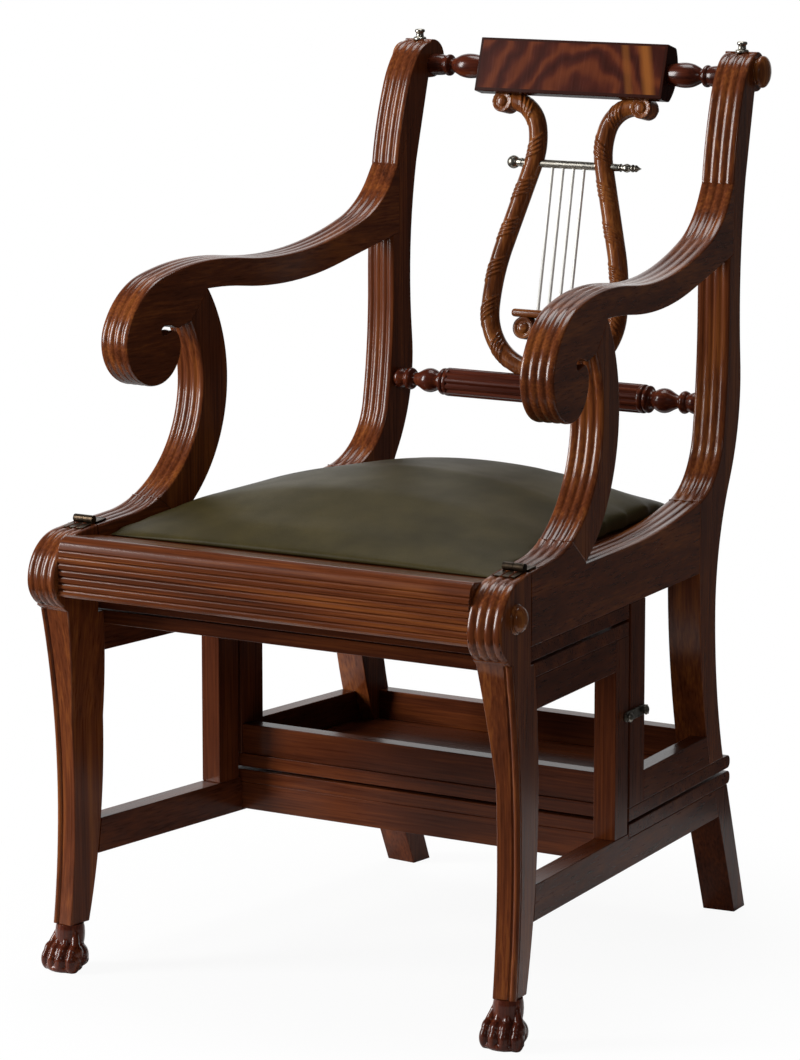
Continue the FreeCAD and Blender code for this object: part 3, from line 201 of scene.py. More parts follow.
@dataclass(frozen=True)
class PolishedMahogany:
    """French-polished mahogany: red-brown ribbon figure, fine dark pores and a clear, thin gloss over it."""

    name: str
    deep: str = "#2c1209"
    body: str = "#643117"
    bright: str = "#985624"
    ribbon: float = 24.0
    ribbon_run: float = 320.0
    ribbon_share: float = 0.55
    fibre: float = 2.2
    fibre_run: float = 90.0
    pore: float = 1.1
    pore_run: float = 16.0
    pore_depth: float = 0.2
    pore_ink: float = 0.22
    roughness: float = 0.3
    gloss: float = 0.85
    gloss_roughness: float = 0.19

    def material(self, grain: Grain) -> Material:
        """Make or find the material for one way of the grain.

        Args:
            grain: The fibres' axis.

        Returns:
            The material.
        """
        name = f"{self.name}_{grain.name.lower()}"
        if name in bpy.data.materials:
            return bpy.data.materials[name]
        material, tree, shader, place = new_material(name)
        noises = []
        for across, along, detail, bend in ((self.ribbon, self.ribbon_run, 3.0, 0.8),
                                            (self.fibre, self.fibre_run, 4.0, 0.2),
                                            (self.pore, self.pore_run, 1.0, 0.0)):
            drawn = add_node(tree, "Mapping", {"Vector": place, "Scale": grain_scale(grain, across, along)})
            cells = add_node(tree, "TexNoise", {"Vector": drawn.outputs[0], "Scale": 1.0, "Detail": detail,
                                                "Distortion": bend})
            noises.append(cells.outputs["Fac"])
        ribbons, fibres, pits = noises
        weighted = add_node(tree, "Math", {"operation": "MULTIPLY", 0: ribbons, 1: self.ribbon_share})
        figure = add_node(tree, "Math", {"operation": "MULTIPLY_ADD", 0: fibres, 1: 1 - self.ribbon_share,
                                         2: weighted.outputs[0]})
        tint = add_node(tree, "ValToRGB", {"Fac": figure.outputs[0]},
                        [(0.24, self.deep), (0.5, self.body), (0.76, self.bright)])
        pores = add_node(tree, "MapRange", {"Value": pits, "From Min": 0.60, "From Max": 0.72,
                                            "To Max": self.pore_ink}).outputs[0]
        colour = add_node(tree, "Mix", {"data_type": "RGBA", 0: pores, 6: tint.outputs["Color"],
                                        7: linear(self.deep)})
        sheen = add_node(tree, "MapRange", {"Value": fibres, "From Min": 0.3, "From Max": 0.7,
                                            "To Min": self.roughness - 0.05, "To Max": self.roughness + 0.07})
        relief = add_node(tree, "Bump", {"Strength": 0.12, "Distance": self.pore_depth * MM, "invert": True,
                                         "Height": pores})
        feed(shader, {"Base Color": colour.outputs[2], "Roughness": sheen.outputs[0],
                      "Normal": relief.outputs[0], "Specular IOR Level": BASE_SPECULAR,
                      "Coat IOR": POLISH_IOR, "Coat Weight": self.gloss,
                      "Coat Roughness": self.gloss_roughness})
        return material


@dataclass(frozen=True)
class FlameVeneer:
    """Crotch mahogany veneer in a dark cross-banded frame: flames round a heart, and two amber streaks."""

    name: str = "flame_mahogany_veneer"
    deep: str = "#35120a"
    body: str = "#491c10"
    bright: str = "#6f3519"
    amber: str = "#9a5c26"
    band: str = "#30130b"
    flame: float = 27.0
    feather: float = 3.0
    feather_run: float = 40.0
    feather_slant: float = 0.5
    feather_share: float = 0.35
    sway: float = 60.0
    sway_share: float = 0.035
    heart: Place = (0.022, 0.0, -0.046)
    # Each streak's place across the tablet, its reach and its strength.
    streaks: tuple[Place, ...] = ((90.0, 9.0, 0.75), (67.0, 6.0, 0.4))
    streak_core: float = 2.0
    streak_slant: float = 0.25
    gloss: float = 0.12
    gloss_roughness: float = 0.14

    def material(self, centre: Vector, lean: float, half: float, face: float, border: float) -> Material:
        """Make the veneer for a leaning tablet.

        Args:
            centre: The tablet's middle, in metres.
            lean: How far it leans back, in radians.
            half: Half its length, in millimetres.
            face: Its height, in millimetres.
            border: The width of the dark frame, in millimetres.

        Returns:
            The material.
        """
        material, tree, shader, place = new_material(self.name)
        flat = add_node(tree, "Mapping", {"vector_type": "TEXTURE", "Vector": place, "Location": centre,
                                          "Rotation": (-lean, 0, 0)}).outputs[0]
        sway = add_node(tree, "TexNoise", {"Vector": flat, "Scale": 1 / (self.sway * MM), "Detail": 2.0})
        bent = add_node(tree, "Mix", {"data_type": "RGBA", "blend_type": "LINEAR_LIGHT", 0: self.sway_share,
                                      6: flat, 7: sway.outputs["Color"]})
        about = add_node(tree, "VectorMath", {"operation": "SUBTRACT", 0: bent.outputs[2], 1: self.heart})
        flames = add_node(tree, "TexWave", {
            "wave_type": "RINGS", "rings_direction": "Y", "Vector": about.outputs[0],
            "Scale": 1 / (self.flame * MM) / 3.2, "Distortion": 6.0, "Detail": 3.0, "Detail Scale": 1.0})
        fine = 1 / (self.feather * MM)
        drawn = add_node(tree, "Mapping", {"Vector": flat, "Scale": (fine, fine, 1 / (self.feather_run * MM)),
                                           "Rotation": (0, self.feather_slant, 0)})
        feather = add_node(tree, "TexNoise", {"Vector": drawn.outputs[0], "Scale": 1.0, "Detail": 4.0})
        figure = add_node(tree, "Mix", {"data_type": "FLOAT", 0: self.feather_share, 2: flames.outputs["Fac"],
                                        3: feather.outputs["Fac"]})
        tint = add_node(tree, "ValToRGB", {"Fac": figure.outputs[0]},
                        [(0.1, self.deep), (0.5, self.body), (1.0, self.bright)])
        axes = add_node(tree, "SeparateXYZ", {"Vector": flat}).outputs
        slanted = add_node(tree, "Math", {"operation": "MULTIPLY_ADD", 0: axes["Z"], 1: self.streak_slant,
                                          2: axes["X"]})
        glows = []
        for middle, reach, strength in self.streaks:
            apart = add_node(tree, "Math", {"operation": "SUBTRACT", 0: slanted.outputs[0], 1: middle * MM})
            beside = add_node(tree, "Math", {"operation": "ABSOLUTE", 0: apart.outputs[0]})
            glows.append(add_node(tree, "MapRange", {
                "Value": beside.outputs[0], "From Min": self.streak_core * MM, "From Max": reach * MM,
                "To Min": strength, "To Max": 0.0}).outputs[0])
        glow = add_node(tree, "Math", {"operation": "MAXIMUM", 0: glows[0], 1: glows[1]})
        wood = add_node(tree, "Mix", {"data_type": "RGBA", 0: glow.outputs[0], 6: tint.outputs["Color"],
                                      7: linear(self.amber)})
        edges = []
        for axis, reach in (("X", half), ("Z", face / 2)):
            away = add_node(tree, "Math", {"operation": "ABSOLUTE", 0: axes[axis]})
            edges.append(add_node(tree, "Math", {"operation": "GREATER_THAN", 0: away.outputs[0],
                                                 1: (reach - border) * MM}).outputs[0])
        frame = add_node(tree, "Math", {"operation": "MAXIMUM", 0: edges[0], 1: edges[1]})
        colour = add_node(tree, "Mix", {"data_type": "RGBA", 0: frame.outputs[0], 6: wood.outputs[2],
                                        7: linear(self.band)})
        sheen = add_node(tree, "MapRange", {"Value": feather.outputs["Fac"], "To Min": 0.2, "To Max": 0.32})
        feed(shader, {"Base Color": colour.outputs[2], "Roughness": sheen.outputs[0],
                      "Specular IOR Level": BASE_SPECULAR, "Coat IOR": POLISH_IOR, "Coat Weight": self.gloss,
                      "Coat Roughness": self.gloss_roughness})
        return material


@dataclass(frozen=True)
class SeatLeather:
    """Aniline-dyed cowhide, olive green: soft mottling, fine pebble grain and a low wax shine."""

    name: str = "olive_cowhide"
    dark: str = "#342e19"
    light: str = "#4a4124"
    mottle: float = 55.0
    pebble: float = 2.4
    pebble_depth: float = 0.25
    roughness: float = 0.42
    specular: float = 0.08

    def material(self) -> Material:
        """Make the leather. Its pebbles are drawn about twice as coarse as real ones, so that they show, and
        their creases get painted shade.
        """
        material, tree, shader, place = new_material(self.name)
        cloud = add_node(tree, "TexNoise", {"Vector": place, "Scale": 1 / (self.mottle * MM), "Detail": 5.0})
        tint = add_node(tree, "ValToRGB", {"Fac": cloud.outputs["Fac"]},
                        [(0.3, self.dark), (0.7, self.light)])
        pebbles = add_node(tree, "TexVoronoi", {"feature": "DISTANCE_TO_EDGE", "Vector": place,
                                                "Scale": 1 / (self.pebble * MM)})
        crease = add_node(tree, "MapRange", {"Value": pebbles.outputs["Distance"],
                                             "From Max": 0.25}).outputs[0]
        # Painted shade: the colour darkens towards the pebbles' creases, down to 55 per cent of the mottled
        # tint.
        depth = add_node(tree, "MapRange", {"Value": crease, "To Min": 0.55, "To Max": 1.0})
        colour = add_node(tree, "Mix", {"data_type": "RGBA", 0: depth.outputs[0], 6: linear(self.dark),
                                        7: tint.outputs["Color"]})
        shine = add_node(tree, "MapRange", {"Value": cloud.outputs["Fac"], "To Min": self.roughness + 0.12,
                                            "To Max": self.roughness - 0.06})
        relief = add_node(tree, "Bump", {"Strength": 0.25, "Distance": self.pebble_depth * MM,
                                         "Height": crease})
        feed(shader, {"Base Color": colour.outputs[2], "Roughness": shine.outputs[0],
                      "Normal": relief.outputs[0], "Specular IOR Level": self.specular})
        return material


@dataclass(frozen=True)
class CastMetal:
    """A worn metal: bright where hands rub it, with a duller bloom in patches."""

    name: str
    bright: str
    dull: str
    roughness: float
    patch: float = 9.0
    metallic: float = 1.0

    def material(self) -> Material:
        """Make or find the metal."""
        if self.name in bpy.data.materials:
            return bpy.data.materials[self.name]
        material, tree, shader, place = new_material(self.name)
        bloom = add_node(tree, "TexNoise", {"Vector": place, "Scale": 1 / (self.patch * MM),
                                            "Detail": 6.0}).outputs["Fac"]
        tint = add_node(tree, "ValToRGB", {"Fac": bloom}, [(0.35, self.dull), (0.62, self.bright)])
        sheen = add_node(tree, "MapRange", {"Value": bloom, "From Min": 0.35, "From Max": 0.65,
                                            "To Min": self.roughness + 0.12, "To Max": self.roughness - 0.06})
        feed(shader, {"Base Color": tint.outputs["Color"], "Roughness": sheen.outputs[0],
                      "Metallic": self.metallic})
        return material


SHOW_WOOD = PolishedMahogany("polished_mahogany")
STEP_WOOD = PolishedMahogany("step_mahogany", "#240e08", "#4e2411", "#743b19", gloss=0.4)
# Lighter mahogany: partly the carving's own tone and partly painted highlight, standing for the gleam on the
# lyre's carving and on the roundels' and bosses' domes.
HIGHLIGHT_PAINTED_WOOD = PolishedMahogany("mahogany_painted_highlight", "#34160b", "#78401c", "#ae6c32", ribbon=12.0)
TURNED_WOOD = PolishedMahogany("turned_mahogany", "#290e08", "#4e2012", "#7a3a1a", ribbon=14.0)
PEWTER = CastMetal("antique_pewter", "#c9c5ba", "#8f8a80", 0.26)
# Painted reflection: the wire is near white and barely metallic, so it shows pale where a metal wire would
# reflect the white surround.
WIRE_PAINTED_REFLECTION = CastMetal("drawn_wire_painted_reflection", "#fbfaf6", "#efede7", 0.5, 60.0, 0.25)
BRONZE = CastMetal("dark_bronze", "#5b4c3c", "#2b241d", 0.36)
STEEL = CastMetal("tarnished_steel", "#a39e93", "#5f5a51", 0.3)


def activate(obj: Object) -> None:
    """Make one object the only selected and active one."""
    bpy.ops.object.select_all(action="DESELECT")
    obj.select_set(True)
    bpy.context.view_layer.objects.active = obj


@contextmanager
def editing(obj: Object) -> Iterator[None]:
    """Hold one object in edit mode with all of its mesh selected."""
    activate(obj)
    bpy.ops.object.mode_set(mode="EDIT")
    bpy.ops.mesh.select_all(action="SELECT")
    yield
    bpy.ops.object.mode_set(mode="OBJECT")


def apply_place(obj: Object) -> None:
    """Put an object's place, turn and scale into its mesh."""
    activate(obj)
    bpy.ops.object.transform_apply(location=True, rotation=True, scale=True)


def apply_modifier(obj: Object, kind: str, settings: dict) -> None:
    """Add a modifier and apply it.

    Args:
        obj: The object that gets it.
        kind: The modifier's type.
        settings: Values by attribute name.
    """
    modifier = obj.modifiers.new(kind.lower(), kind)
    for key, value in settings.items():
        setattr(modifier, key, value)
    activate(obj)
    bpy.ops.object.modifier_apply(modifier=modifier.name)


def smooth(obj: Object, degrees: float = 35.0) -> None:
    """Shade an object smooth up to an angle between faces."""
    activate(obj)
    bpy.ops.object.shade_smooth_by_angle(angle=math.radians(degrees))


def join(name: str, pieces: Sequence[Object]) -> Object:
    """Join pieces into the first of them.

    Args:
        name: The joined piece's name.
        pieces: The pieces.

    Returns:
        The joined piece.
    """
    activate(pieces[0])
    for piece in pieces[1:]:
        piece.select_set(True)
    bpy.ops.object.join()
    pieces[0].name = name
    return pieces[0]


def dress(obj: Object, material: Material, body: Body, slot: str, *nodes: str) -> Object:
    """Give a finished piece its material and tie it to the frame.

    Args:
        obj: The piece.
        material: Its material.
        body: The body that carries it.
        slot: Not used.
        nodes: CAD nodes that the piece stands for.

    Returns:
        The piece.
    """
    obj.data.materials.clear()
    obj.data.materials.append(material)
    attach(obj, body.value)
    if nodes:
        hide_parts(*nodes)
    LOG.info("piece %s on %s", obj.name, body.value)
    return obj


def dress_wood(name: str, pieces: Sequence[Object], finish: PolishedMahogany, grain: Grain, body: Body,
               node: str) -> None:
    """Join wooden pieces and dress them as one.

    Args:
        name: The joined piece's name.
        pieces: The pieces.
        finish: Their wood.
        grain: The fibres' axis.
        body: The body that carries them.
        node: The CAD node that they stand for.
    """
    dress(join(name, pieces), finish.material(grain), body, "mahogany", node)


def reskin(obj: Object, voxel: float, passes: int) -> None:
    """Fuse a piece into one even skin and smooth it.

    Args:
        obj: The piece.
        voxel: The skin's cell, in millimetres.
        passes: How often it is smoothed.
    """
    apply_modifier(obj, "REMESH", {"mode": "VOXEL", "voxel_size": voxel * MM})
    apply_modifier(obj, "SMOOTH", {"factor": 0.5, "iterations": passes})


def side_point(side: str, x: float, depth: float, height: float) -> Vector:
    """A point of a side frame in the chair's frame.

    Args:
        side: Left or right.
        x: Out from the frame's middle plane, positive to the chair's right, in millimetres.
        depth: Behind the hinge line along the frame, in millimetres.
        height: Above the floor, in millimetres.

    Returns:
        The point in metres.
    """
    turn = SIDES[side] * TAPER
    return Vector((SIDES[side] * HALF_SPAN + x * math.cos(turn) - depth * math.sin(turn),
                   -HINGE_SETBACK + x * math.sin(turn) + depth * math.cos(turn), height)) * MM


def side_frame(side: str, x: float, depth: float, height: float) -> Matrix:
    """The placement of a side frame's axes at one of its points."""
    turn = Matrix.Rotation(SIDES[side] * TAPER, 4, "Z")
    return Matrix.Translation(side_point(side, x, depth, height)) @ turn


def flowing(points: Sequence[Point], steps: int = 4) -> list[Point]:
    """Run a smooth line through the points of a turned profile.

    Args:
        points: Place along the axis and radius, in order.
        steps: How many short runs stand between two points.

    Returns:
        The finer line, with no radius below a tenth of a millimetre.
    """
    line = []
    for i in range(len(points) - 1):
        before, start, end = points[max(i - 1, 0)], points[i], points[i + 1]
        after = points[min(i + 2, len(points) - 1)]
        for step in range(steps):
            t = step / steps
            line.append(tuple(
                0.5 * (2 * b + (c - a) * t + (2 * a - 5 * b + 4 * c - d) * t * t
                       + (3 * b - a - 3 * c + d) * t ** 3)
                for a, b, c, d in zip(before, start, end, after)))
    line.append(points[-1])
    return [(x, max(radius, 0.1)) for x, radius in line]


def turned(name: str, points: Sequence[Point], place: Matrix, sides: int = 40, steps: int = 4) -> Object:
    """Turn a profile about the X axis, ring by ring, as on a lathe.

    Args:
        name: The piece's name.
        points: Place along the axis and radius, in millimetres.
        place: Where the axis stands.
        sides: Facets round the axis.
        steps: Rings between two points of the profile.

    Returns:
        The turned piece.
    """
    line = flowing(points, steps)
    bpy.ops.object.select_all(action="DESELECT")
    bpy.ops.mesh.primitive_circle_add(vertices=sides, radius=line[0][1] * MM, fill_type="NGON",
                                      location=(line[0][0] * MM, 0, 0), rotation=(0, math.pi / 2, 0))
    obj = bpy.context.object
    obj.name = name
    apply_place(obj)
    with editing(obj):
        for (x, radius), (next_x, next_radius) in zip(line, line[1:]):
            bpy.ops.mesh.extrude_region_move(TRANSFORM_OT_translate={"value": ((next_x - x) * MM, 0, 0)})
            grow = next_radius / radius
            bpy.ops.transform.resize(value=(1, grow, grow), center_override=(next_x * MM, 0, 0))
        bpy.ops.mesh.select_all(action="SELECT")
        bpy.ops.mesh.normals_make_consistent(inside=False)
    obj.matrix_world = place
    apply_place(obj)
    smooth(obj, degrees=50)
    return obj


def tube(name: str, points: Sequence[Vector], radii: Sequence[float], resolution: int = 3) -> Object:
    """Sweep a round bar along points.

    Args:
        name: The piece's name.
        points: The bar's middle line, in metres.
        radii: Its radius at each point, in millimetres.
        resolution: The curve's bevel resolution.

    Returns:
        The bar as a mesh.
    """
    curve = bpy.data.curves.new(name, "CURVE")
    curve.dimensions = "3D"
    curve.bevel_depth = MM
    curve.bevel_resolution = resolution
    curve.use_fill_caps = True
    spline = curve.splines.new("POLY")
    spline.points.add(len(points) - 1)
    for knot, point, radius in zip(spline.points, points, radii):
        knot.co = (*point, 1)
        knot.radius = radius
    obj = bpy.data.objects.new(name, curve)
    bpy.context.scene.collection.objects.link(obj)
    activate(obj)
    bpy.ops.object.convert(target="MESH")
    obj = bpy.context.object
    with editing(obj):
        bpy.ops.mesh.remove_doubles(threshold=1e-6)
        bpy.ops.mesh.normals_make_consistent(inside=False)
    smooth(obj, degrees=50)
    return obj


@dataclass
class Workshop:
    """Copies the frame's solids and eases their edges, as a cabinet maker does with a scraper and paper."""

    nodes: dict[str, Object]
    arris: float = 0.9
    ridge: float = 3.5
    ridge_least: float = 40.0
    ridge_most: float = 61.0
    segments: int = 4
    quad_angle: float = math.radians(1.0)
    flat_angle: float = math.radians(0.4)

    def copy(self, node: str, name: str) -> Object:
        """Copy a solid and merge its loose triangles into whole faces.

        Args:
            node: The CAD node.
            name: The copy's name.

        Returns:
            The merged copy, at rest in the chair's frame.
        """
        obj = self.nodes[node].copy()
        obj.data = obj.data.copy()
        obj.parent = None
        obj.name = name
        for key in [k for k in obj.keys() if k.startswith("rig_")]:
            del obj[key]
        bpy.context.scene.collection.objects.link(obj)
        obj.hide_viewport = obj.hide_render = False
        obj.hide_set(False)
        with editing(obj):
            bpy.ops.mesh.remove_doubles(threshold=1e-6)
            bpy.ops.mesh.tris_convert_to_quads(face_threshold=self.quad_angle, shape_threshold=math.pi)
            bpy.ops.mesh.dissolve_limited(angle_limit=self.flat_angle)
        return obj

    def ease(self, obj: Object) -> Object:
        """Round the outward edges: reeds to half rounds, other arrises to a fine radius.

        Args:
            obj: A merged copy.

        Returns:
            The same piece, eased and smooth.
        """
        shape = bmesh.new()
        shape.from_mesh(obj.data)
        weight = shape.edges.layers.float.new("bevel_weight_edge")
        for edge in shape.edges:
            if len(edge.link_faces) != 2:
                continue
            angle = math.degrees(edge.calc_face_angle_signed(0.0))
            if self.ridge_least < angle < self.ridge_most:
                edge[weight] = 1.0
            elif angle >= self.ridge_most:
                edge[weight] = self.arris / self.ridge
        shape.to_mesh(obj.data)
        shape.free()
        apply_modifier(obj, "BEVEL", {
            "limit_method": "WEIGHT", "offset_type": "OFFSET", "width": self.ridge * MM,
            "segments": self.segments, "use_clamp_overlap": False})
        self.polish(obj)
        return obj

    @staticmethod
    def polish(obj: Object) -> None:
        """Shade a piece smooth, with its broad faces flat up to their eased edges."""
        smooth(obj)
        apply_modifier(obj, "WEIGHTED_NORMAL", {"mode": "FACE_AREA", "weight": 50, "keep_sharp": True})

    def member(self, node: str, finish: PolishedMahogany, grain: Grain, body: Body) -> Object:
        """Ease and dress one wooden member of the frame.

        Args:
            node: The CAD node.
            finish: Its wood.
            grain: The fibres' axis.
            body: The body that carries it.

        Returns:
            The dressed member.
        """
        obj = self.ease(self.copy(node, f"{node}_wood"))
        return dress(obj, finish.material(grain), body, "mahogany", node)


@dataclass
class SideFrames:
    """The reeded side frames: legs and blocks below the hinge; rails, arms and uprights above it."""

    shop: Workshop
    bead_radius: float = 3.4
    bead_inset: float = 2.3
    bead_top: float = 366.0
    bead_foot: float = 45.9
    quirk: float = 1.3
    quirk_place: float = 6.0
    quirk_overrun: float = 2.0
    # The least cosines that make a face an outer one and a front one.
    outward: float = 0.98
    forward: float = 0.8

    def build(self) -> None:
        """Dress both side frames and run a bead down each front leg."""
        kinds = {"front_leg": (Grain.UPRIGHT, Body.BASE), "seat_rail": (Grain.DEPTH, Body.UPPER),
                 "arm": (Grain.DEPTH, Body.UPPER), "arm_support": (Grain.UPRIGHT, Body.UPPER),
                 "upright": (Grain.UPRIGHT, Body.UPPER)}
        for side in SIDES:
            made = {kind: self.shop.member(f"{kind}_{side}", SHOW_WOOD, grain, body)
                    for kind, (grain, body) in kinds.items()}
            self.bead(side, made["front_leg"])
        self.shop.member("front_rail", SHOW_WOOD, Grain.ACROSS, Body.BASE)

    def bead(self, side: str, leg: Object) -> None:
        """Run a bead down the front outer corner of a leg, with a fine quirk on each side of it.

        Args:
            side: Left or right.
            leg: The dressed leg.
        """
        out = (side_point(side, SIDES[side], 0, 0) - side_point(side, 0, 0, 0)).normalized()
        back = (side_point(side, 0, 1, 0) - side_point(side, 0, 0, 0)).normalized()
        guide = self.shop.copy(f"front_leg_{side}", f"leg_bead_{side}_guide")
        shape = bmesh.new()
        shape.from_mesh(guide.data)
        corner = set()
        for edge in shape.edges:
            facing = [face.normal for face in edge.link_faces]
            if min(v.co.z for v in edge.verts) < self.bead_foot * MM:
                continue
            outer = any(n.dot(out) > self.outward for n in facing)
            if outer and any(-n.dot(back) > self.forward for n in facing):
                corner.update(tuple(v.co) for v in edge.verts if v.co.z < self.bead_top * MM)
        shape.free()
        bpy.data.objects.remove(guide)
        line = [Vector(c) for c in sorted(corner, key=lambda c: -c[2])]
        cut = [*line, line[-1] + (line[-1] - line[-2]).normalized() * self.quirk_overrun * MM]
        for inward in (-out, back):
            path = [c + inward * self.quirk_place * MM for c in cut]
            quirk = tube("quirk", path, [self.quirk] * len(cut), resolution=2)
            apply_modifier(leg, "BOOLEAN", {"operation": "DIFFERENCE", "solver": "EXACT", "object": quirk})
            bpy.data.objects.remove(quirk)
        self.shop.polish(leg)
        inset = (back - out) * self.bead_inset * MM
        bead = tube(f"leg_bead_{side}", [c + inset for c in line], [self.bead_radius] * len(line))
        dress(bead, SHOW_WOOD.material(Grain.UPRIGHT), Body.BASE, "mahogany")


@dataclass
class Steps:
    """The boards of the step flight: treads, aprons, posts, lower rails and rear feet."""

    shop: Workshop

    def build(self) -> None:
        """Dress every board."""
        pairs = {"front_post": (Grain.UPRIGHT, Body.BASE), "lower_rail": (Grain.DEPTH, Body.BASE),
                 "rear_foot": (Grain.UPRIGHT, Body.BASE), "tread_2_side_apron": (Grain.DEPTH, Body.BASE),
                 "rear_post": (Grain.UPRIGHT, Body.UPPER), "tray_side_apron": (Grain.DEPTH, Body.UPPER)}
        for kind, (grain, body) in pairs.items():
            for side in SIDES:
                self.shop.member(f"{kind}_{side}", STEP_WOOD, grain, body)
        boards = {
            Body.BASE: ("tread_1", "tread_2", "tread_2_front_apron", "lower_front_apron", "lower_rear_apron"),
            Body.UPPER: ("tread_3", "tread_4", "tray_front_apron", "tray_rear_apron", "seat_board",
                         "seat_front_rail", "seat_rear_rail")}
        for body, names in boards.items():
            for name in names:
                self.shop.member(name, STEP_WOOD, Grain.ACROSS, body)


@dataclass
class TurnedWork:
    """The turned pieces: crest spindles and bosses, stay rail and leg roundels, in millimetres."""

    stay_depth: float = 480.0
    stay_height: float = 536.0
    stay_half: float = 114.0
    stay_radius: float = 15.0
    stay_reeds: int = 12
    reed_points: int = 6
    reed_depth: float = 0.13
    crest_half: float = 111.0
    roundel_place: Point = (-33.0, 408.0)
    tenon: float = 14.0
    tenon_share: float = 0.7
    # Profiles: place along the axis, as a share of the free length in the first two, and radius.
    stay_end: Sequence[Point] = (
        (-0.01, 12.0), (0.0, 14.6), (0.06, 14.8), (0.08, 12.4), (0.10, 13.8), (0.15, 13.8), (0.17, 10.0),
        (0.22, 8.8), (0.30, 11.4), (0.38, 12.8), (0.47, 12.0), (0.58, 8.4), (0.65, 6.6), (0.69, 7.0),
        (0.71, 10.4), (0.76, 11.8), (0.81, 10.4), (0.83, 8.6), (0.88, 10.2), (0.94, 11.2), (1.0, 10.4))
    spindle: Sequence[Point] = (
        (-0.02, 9.0), (0.0, 10.4), (0.08, 11.6), (0.20, 12.8), (0.31, 12.9), (0.42, 11.6), (0.52, 8.8),
        (0.57, 6.9), (0.60, 6.6), (0.62, 8.0), (0.64, 10.8), (0.68, 11.4), (0.71, 10.6), (0.73, 10.0),
        (0.80, 10.8), (0.92, 11.2), (1.0, 11.0))
    boss: Sequence[Point] = (
        (-1.0, 13.5), (0.8, 13.6), (1.4, 12.8), (2.0, 13.2), (2.8, 15.0), (4.4, 16.2), (6.6, 16.0),
        (8.6, 14.4), (10.4, 11.2), (11.6, 7.2), (12.2, 3.4), (12.3, 0.1))
    roundel: Sequence[Point] = (
        (-1.0, 14.2), (0.8, 14.4), (1.6, 13.4), (2.0, 12.4), (3.6, 12.6), (5.6, 11.8), (7.6, 9.8),
        (9.2, 6.8), (10.2, 3.4), (10.4, 0.1))

    @staticmethod
    def inner_x(depth: float) -> float:
        """Half the clear width between the side frames at a depth behind the hinge, in millimetres."""
        return HALF_SPAN - MEMBER_HALF / math.cos(TAPER) - depth * math.tan(TAPER)

    def between(self, name: str, profile: Sequence[Point], start: float, depth: float, height: float,
                sign: int) -> Object:
        """Turn a piece that reaches from a place on the cross axis into an upright.

        Args:
            name: The piece's name.
            profile: Shares of the free length, and radii.
            start: Where the profile begins, out from the chair's middle.
            depth: The axis's depth behind the hinge.
            height: The axis's height.
            sign: Minus one to the chair's left, one to its right.

        Returns:
            The turned piece.
        """
        room = self.inner_x(depth) - start
        points = [(start + share * room, radius) for share, radius in profile]
        points.append((start + room + self.tenon, profile[-1][1] * self.tenon_share))
        turn = Matrix.Rotation(0.0 if sign > 0 else math.pi, 4, "Z")
        place = Matrix.Translation(Vector((0, depth - HINGE_SETBACK, height)) * MM) @ turn
        return turned(name, points, place)

    def reeded_bar(self) -> Object:
        """Make the stay rail's middle: a round bar with half-round reeds all round it."""
        bpy.ops.object.select_all(action="DESELECT")
        bpy.ops.mesh.primitive_circle_add(
            vertices=self.stay_reeds * self.reed_points, radius=self.stay_radius * MM, fill_type="NGON",
            rotation=(0, math.pi / 2, 0))
        bar = bpy.context.object
        bar.location = (-self.stay_half * MM, (self.stay_depth - HINGE_SETBACK) * MM, self.stay_height * MM)
        for index, vertex in enumerate(bar.data.vertices):
            hollow = abs(math.cos(math.pi * index / self.reed_points)) ** 3
            vertex.co *= 1 - self.reed_depth * hollow
        apply_place(bar)
        with editing(bar):
            run = (2 * self.stay_half * MM, 0, 0)
            bpy.ops.mesh.extrude_region_move(TRANSFORM_OT_translate={"value": run})
            bpy.ops.mesh.select_all(action="SELECT")
            bpy.ops.mesh.normals_make_consistent(inside=False)
        smooth(bar, degrees=30)
        return bar

    def build(self) -> None:
        """Turn all the pieces and dress them."""
        low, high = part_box("crest_spindles")
        depth = (low.y + high.y) / 2 / MM + HINGE_SETBACK
        height = (low.z + high.z) / 2 / MM
        spindles = [self.between("spindle", self.spindle, self.crest_half, depth, height, sign)
                    for sign in SIDES.values()]
        dress_wood("crest_spindles_turned", spindles, TURNED_WOOD, Grain.ACROSS, Body.UPPER, "crest_spindles")
        ends = [self.between("stay_end", self.stay_end, self.stay_half, self.stay_depth, self.stay_height,
                             sign) for sign in SIDES.values()]
        stay = [self.reeded_bar(), *ends]
        dress_wood("stay_rail_turned", stay, TURNED_WOOD, Grain.ACROSS, Body.UPPER, "stay_rail")
        # The roundels get the lighter mahogany as a painted highlight on their domes.
        roundels = [turned("roundel", self.roundel, self.outward(side, *self.roundel_place))
                    for side in SIDES]
        dress_wood("leg_roundels_turned", roundels, HIGHLIGHT_PAINTED_WOOD, Grain.UPRIGHT, Body.BASE, "leg_roundels")
        low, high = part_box("crest_bosses")
        setback = HINGE_SETBACK - MEMBER_HALF * math.sin(TAPER)
        depth = ((low.y + high.y) / 2 / MM + setback) / math.cos(TAPER)
        # The bosses get the lighter mahogany as a painted highlight on their domes.
        bosses = [turned("boss", self.boss, self.outward(side, depth, (low.z + high.z) / 2 / MM))
                  for side in SIDES]
        dress_wood("crest_bosses_turned", bosses, HIGHLIGHT_PAINTED_WOOD, Grain.UPRIGHT, Body.UPPER, "crest_bosses")

    @staticmethod
    def outward(side: str, depth: float, height: float) -> Matrix:
        """The placement of an axis that points out of a side frame's outer face."""
        turn = Matrix.Rotation(0.0 if SIDES[side] > 0 else math.pi, 4, "Z")
        return side_frame(side, SIDES[side] * MEMBER_HALF, depth, height) @ turn


